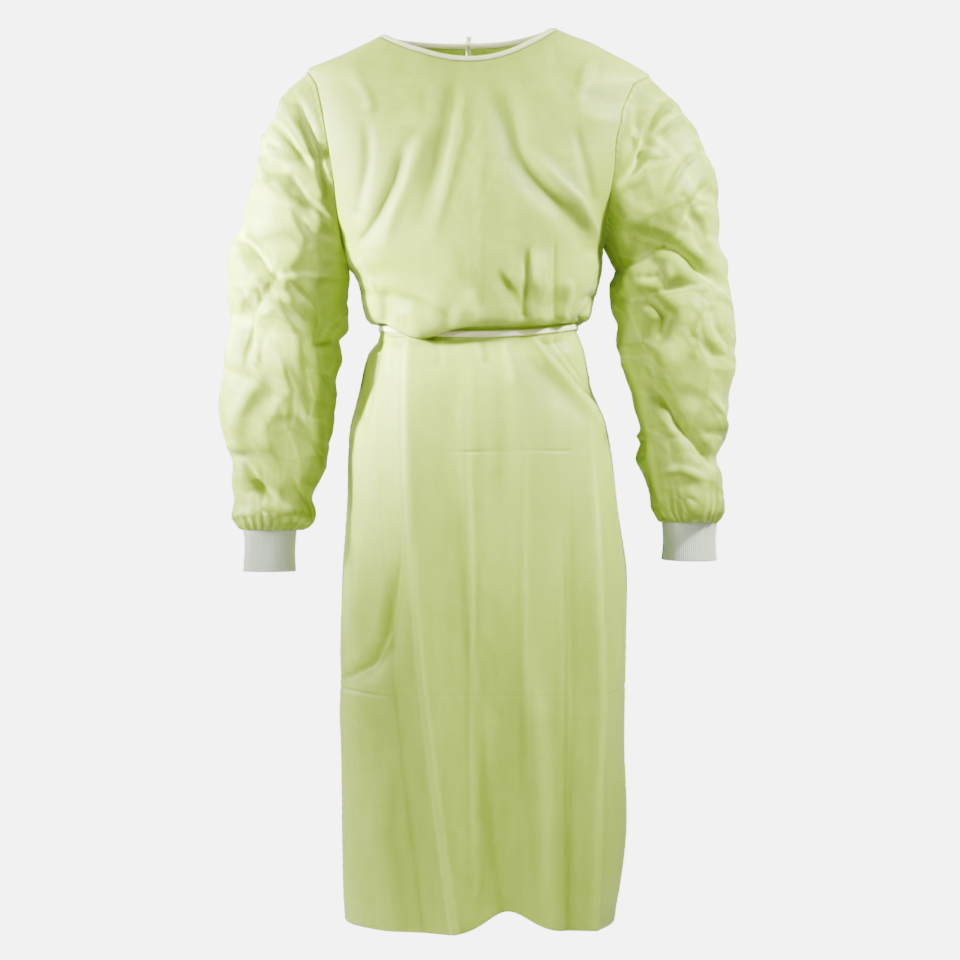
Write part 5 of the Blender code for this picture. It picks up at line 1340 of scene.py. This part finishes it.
def tied_knot(name, middle):
    """A pulled knot of tape: a rounded body with one turn of tape drawn slantwise over it."""
    knot_mesh = bmesh.new()
    bmesh.ops.create_uvsphere(knot_mesh, u_segments=40, v_segments=24, radius=1.0)
    for vertex in knot_mesh.verts:
        x, y, z = vertex.co
        slant = 0.8 * x + 0.6 * z
        band = math.exp(-(slant / BAND_HALF) ** 2)
        crease = math.cos(KNOT_WAVES * (0.6 * x - 0.8 * z) + 1.5 * y)
        groove = math.exp(-((abs(slant) - GROOVE_AT) / GROOVE_HALF) ** 2)
        swell = 1.0 + BAND_STANDS * band + KNOT_CREASE * crease * (1.0 - band) - GROOVE_DEEP * groove
        vertex.co = Vector((x * KNOT_SIZE[0], y * KNOT_SIZE[1], z * KNOT_SIZE[2])) * (swell / 2.0 * MM)
        vertex.co += Vector(middle) * MM
    mesh = bpy.data.meshes.new(name)
    knot_mesh.to_mesh(mesh)
    knot_mesh.free()
    mesh.materials.append(TAPE_CLOTH)
    mesh.shade_smooth()
    made = bpy.data.objects.new(name, mesh)
    bpy.context.scene.collection.objects.link(made)
    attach(made, "root")
    return made


def tape_strip(name, middles, across, width, thick):
    """A flat strip of tape along middle points, with its width along the across directions."""
    shares = np.linspace(-0.5, 0.5, STRIP_COLUMNS)
    cup = STRIP_CUP * (4.0 * shares ** 2)
    normal = unit(np.cross(np.gradient(middles, axis=0), across))
    strip = middles[:, None, :] + across[:, None, :] * (width * shares)[None, :, None]
    strip = strip + normal[:, None, :] * cup[None, :, None]
    return cloth_piece(name, strip, TAPE_CLOTH, thick, (0.0, 1.0, 0.0))


neck_seat = body_point(np.array(math.pi), np.array(BINDING_RUN))
knot_out = KNOT_SIZE[1] / 2.0
neck_knot = tied_knot("gown_neck_knot", neck_seat + np.array((0.0, knot_out, 3.0)))
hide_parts("neck_tie")
NECK_END_ROWS, NECK_STUB_ROWS = 16, 9
NECK_END_RUNS = (8.0, 52.0)
NECK_END_STANDS, NECK_END_SWAY = 3.2, 1.6
end_middles = body_point(np.full(NECK_END_ROWS, math.pi), np.linspace(*NECK_END_RUNS, NECK_END_ROWS))
end_middles += np.array((0.0, LAP_LIFT + NECK_END_STANDS, 0.0))
end_middles[:, 0] += NECK_END_SWAY * np.sin(np.linspace(0.0, 3.0, NECK_END_ROWS))
neck_end = tape_strip("gown_neck_tape_end", end_middles, np.tile((1.0, 0.12, 0.0), (NECK_END_ROWS, 1)),
                      END_WIDTH, TAPE_THICK)
stub_middles = neck_seat + np.array([(0.5 * math.sin(3.0 * share), knot_out + 0.4 * share, 4.0 + 12.5 * share)
                                     for share in np.linspace(0.0, 1.0, NECK_STUB_ROWS)])
neck_stub = tape_strip("gown_neck_tape_stub", stub_middles, np.tile((1.0, 0.1, 0.0), (NECK_STUB_ROWS, 1)),
                       END_WIDTH - 0.6, TAPE_THICK)
for piece in (neck_end, neck_stub):
    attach(piece, "root")


# The waist tape. The same white tape goes round the waist and gathers the gown. It is tied in a knot at the
# centre back with two short hanging ends, and the bloused front hangs over it at the wearer's right.
TAPE_WIDTH = 8.0
TIE_OUT = 1.4
TIE_GAP_TURN = math.radians(2.5)
WAIST_POINTS = 361
WAIST_CUP = 0.5
WAIST_RIPPLE = 0.3
KNOT_OVER_CLOTH = 2.1
waist_turns = np.linspace(-math.pi + TIE_GAP_TURN, math.pi - TIE_GAP_TURN, WAIST_POINTS)
tape_across = np.linspace(-0.5, 0.5, STRIP_COLUMNS)
waist_turn, waist_share = np.meshgrid(waist_turns, tape_across)
waist_run = TAPE_RUN + TAPE_WIDTH * waist_share
waist_lift = lap_lift(math.pi - np.abs(waist_turn), waist_run)
waist_ripple = WAIST_RIPPLE * smooth_noise(waist_turn * 140.0, waist_run, 22.0, 9)
waist_cup = WAIST_CUP * np.cos(math.pi * waist_share) + waist_ripple
waist_points = body_point(waist_turn, waist_run) + body_normal(waist_turn, waist_run) * (
    TIE_OUT + waist_cup + waist_lift)[..., None]
waist_tape = cloth_piece("gown_waist_tape", waist_points, TAPE_CLOTH, TAPE_THICK, (0.0, -1.0, 0.0))
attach(waist_tape, "root")
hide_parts("waist_tie")
waist_seat = body_point(np.array(math.pi), np.array(TAPE_RUN))
waist_out = LAP_LIFT + KNOT_OVER_CLOTH + KNOT_SIZE[1] / 2.0
waist_knot = tied_knot("gown_waist_knot", waist_seat + np.array((0.0, waist_out, 0.0)))
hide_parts("waist_knot")
WAIST_END_ROWS = 40
WaistEnd = namedtuple("WaistEnd", "name turn_knot turn_tip length sway")
for end in (WaistEnd("gown_waist_tape_end_long", -0.019, -0.055, 150.0, 2.0),
            WaistEnd("gown_waist_tape_end_short", 0.018, 0.050, 129.0, -1.6)):
    shares = np.linspace(0.0, 1.0, WAIST_END_ROWS)
    end_turn = math.pi + end.turn_knot + (end.turn_tip - end.turn_knot) * shares
    middles = body_point(end_turn, TAPE_RUN + 2.0 + (end.length - 2.0) * shares)
    lifts = LAP_LIFT + 4.0 + 1.2 * np.sin(5.0 * shares)
    middles = middles + np.stack([end.sway * np.sin(4.4 * shares), lifts, 0.0 * shares], axis=-1)
    lean = 0.35 * np.sin(3.5 * shares + end.sway)
    twist_way = unit(np.stack([np.ones(WAIST_END_ROWS), lean, 0.0 * shares], axis=-1))
    tape_end = tape_strip(end.name, middles, twist_way, END_WIDTH, TAPE_THICK)
    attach(tape_end, "root")
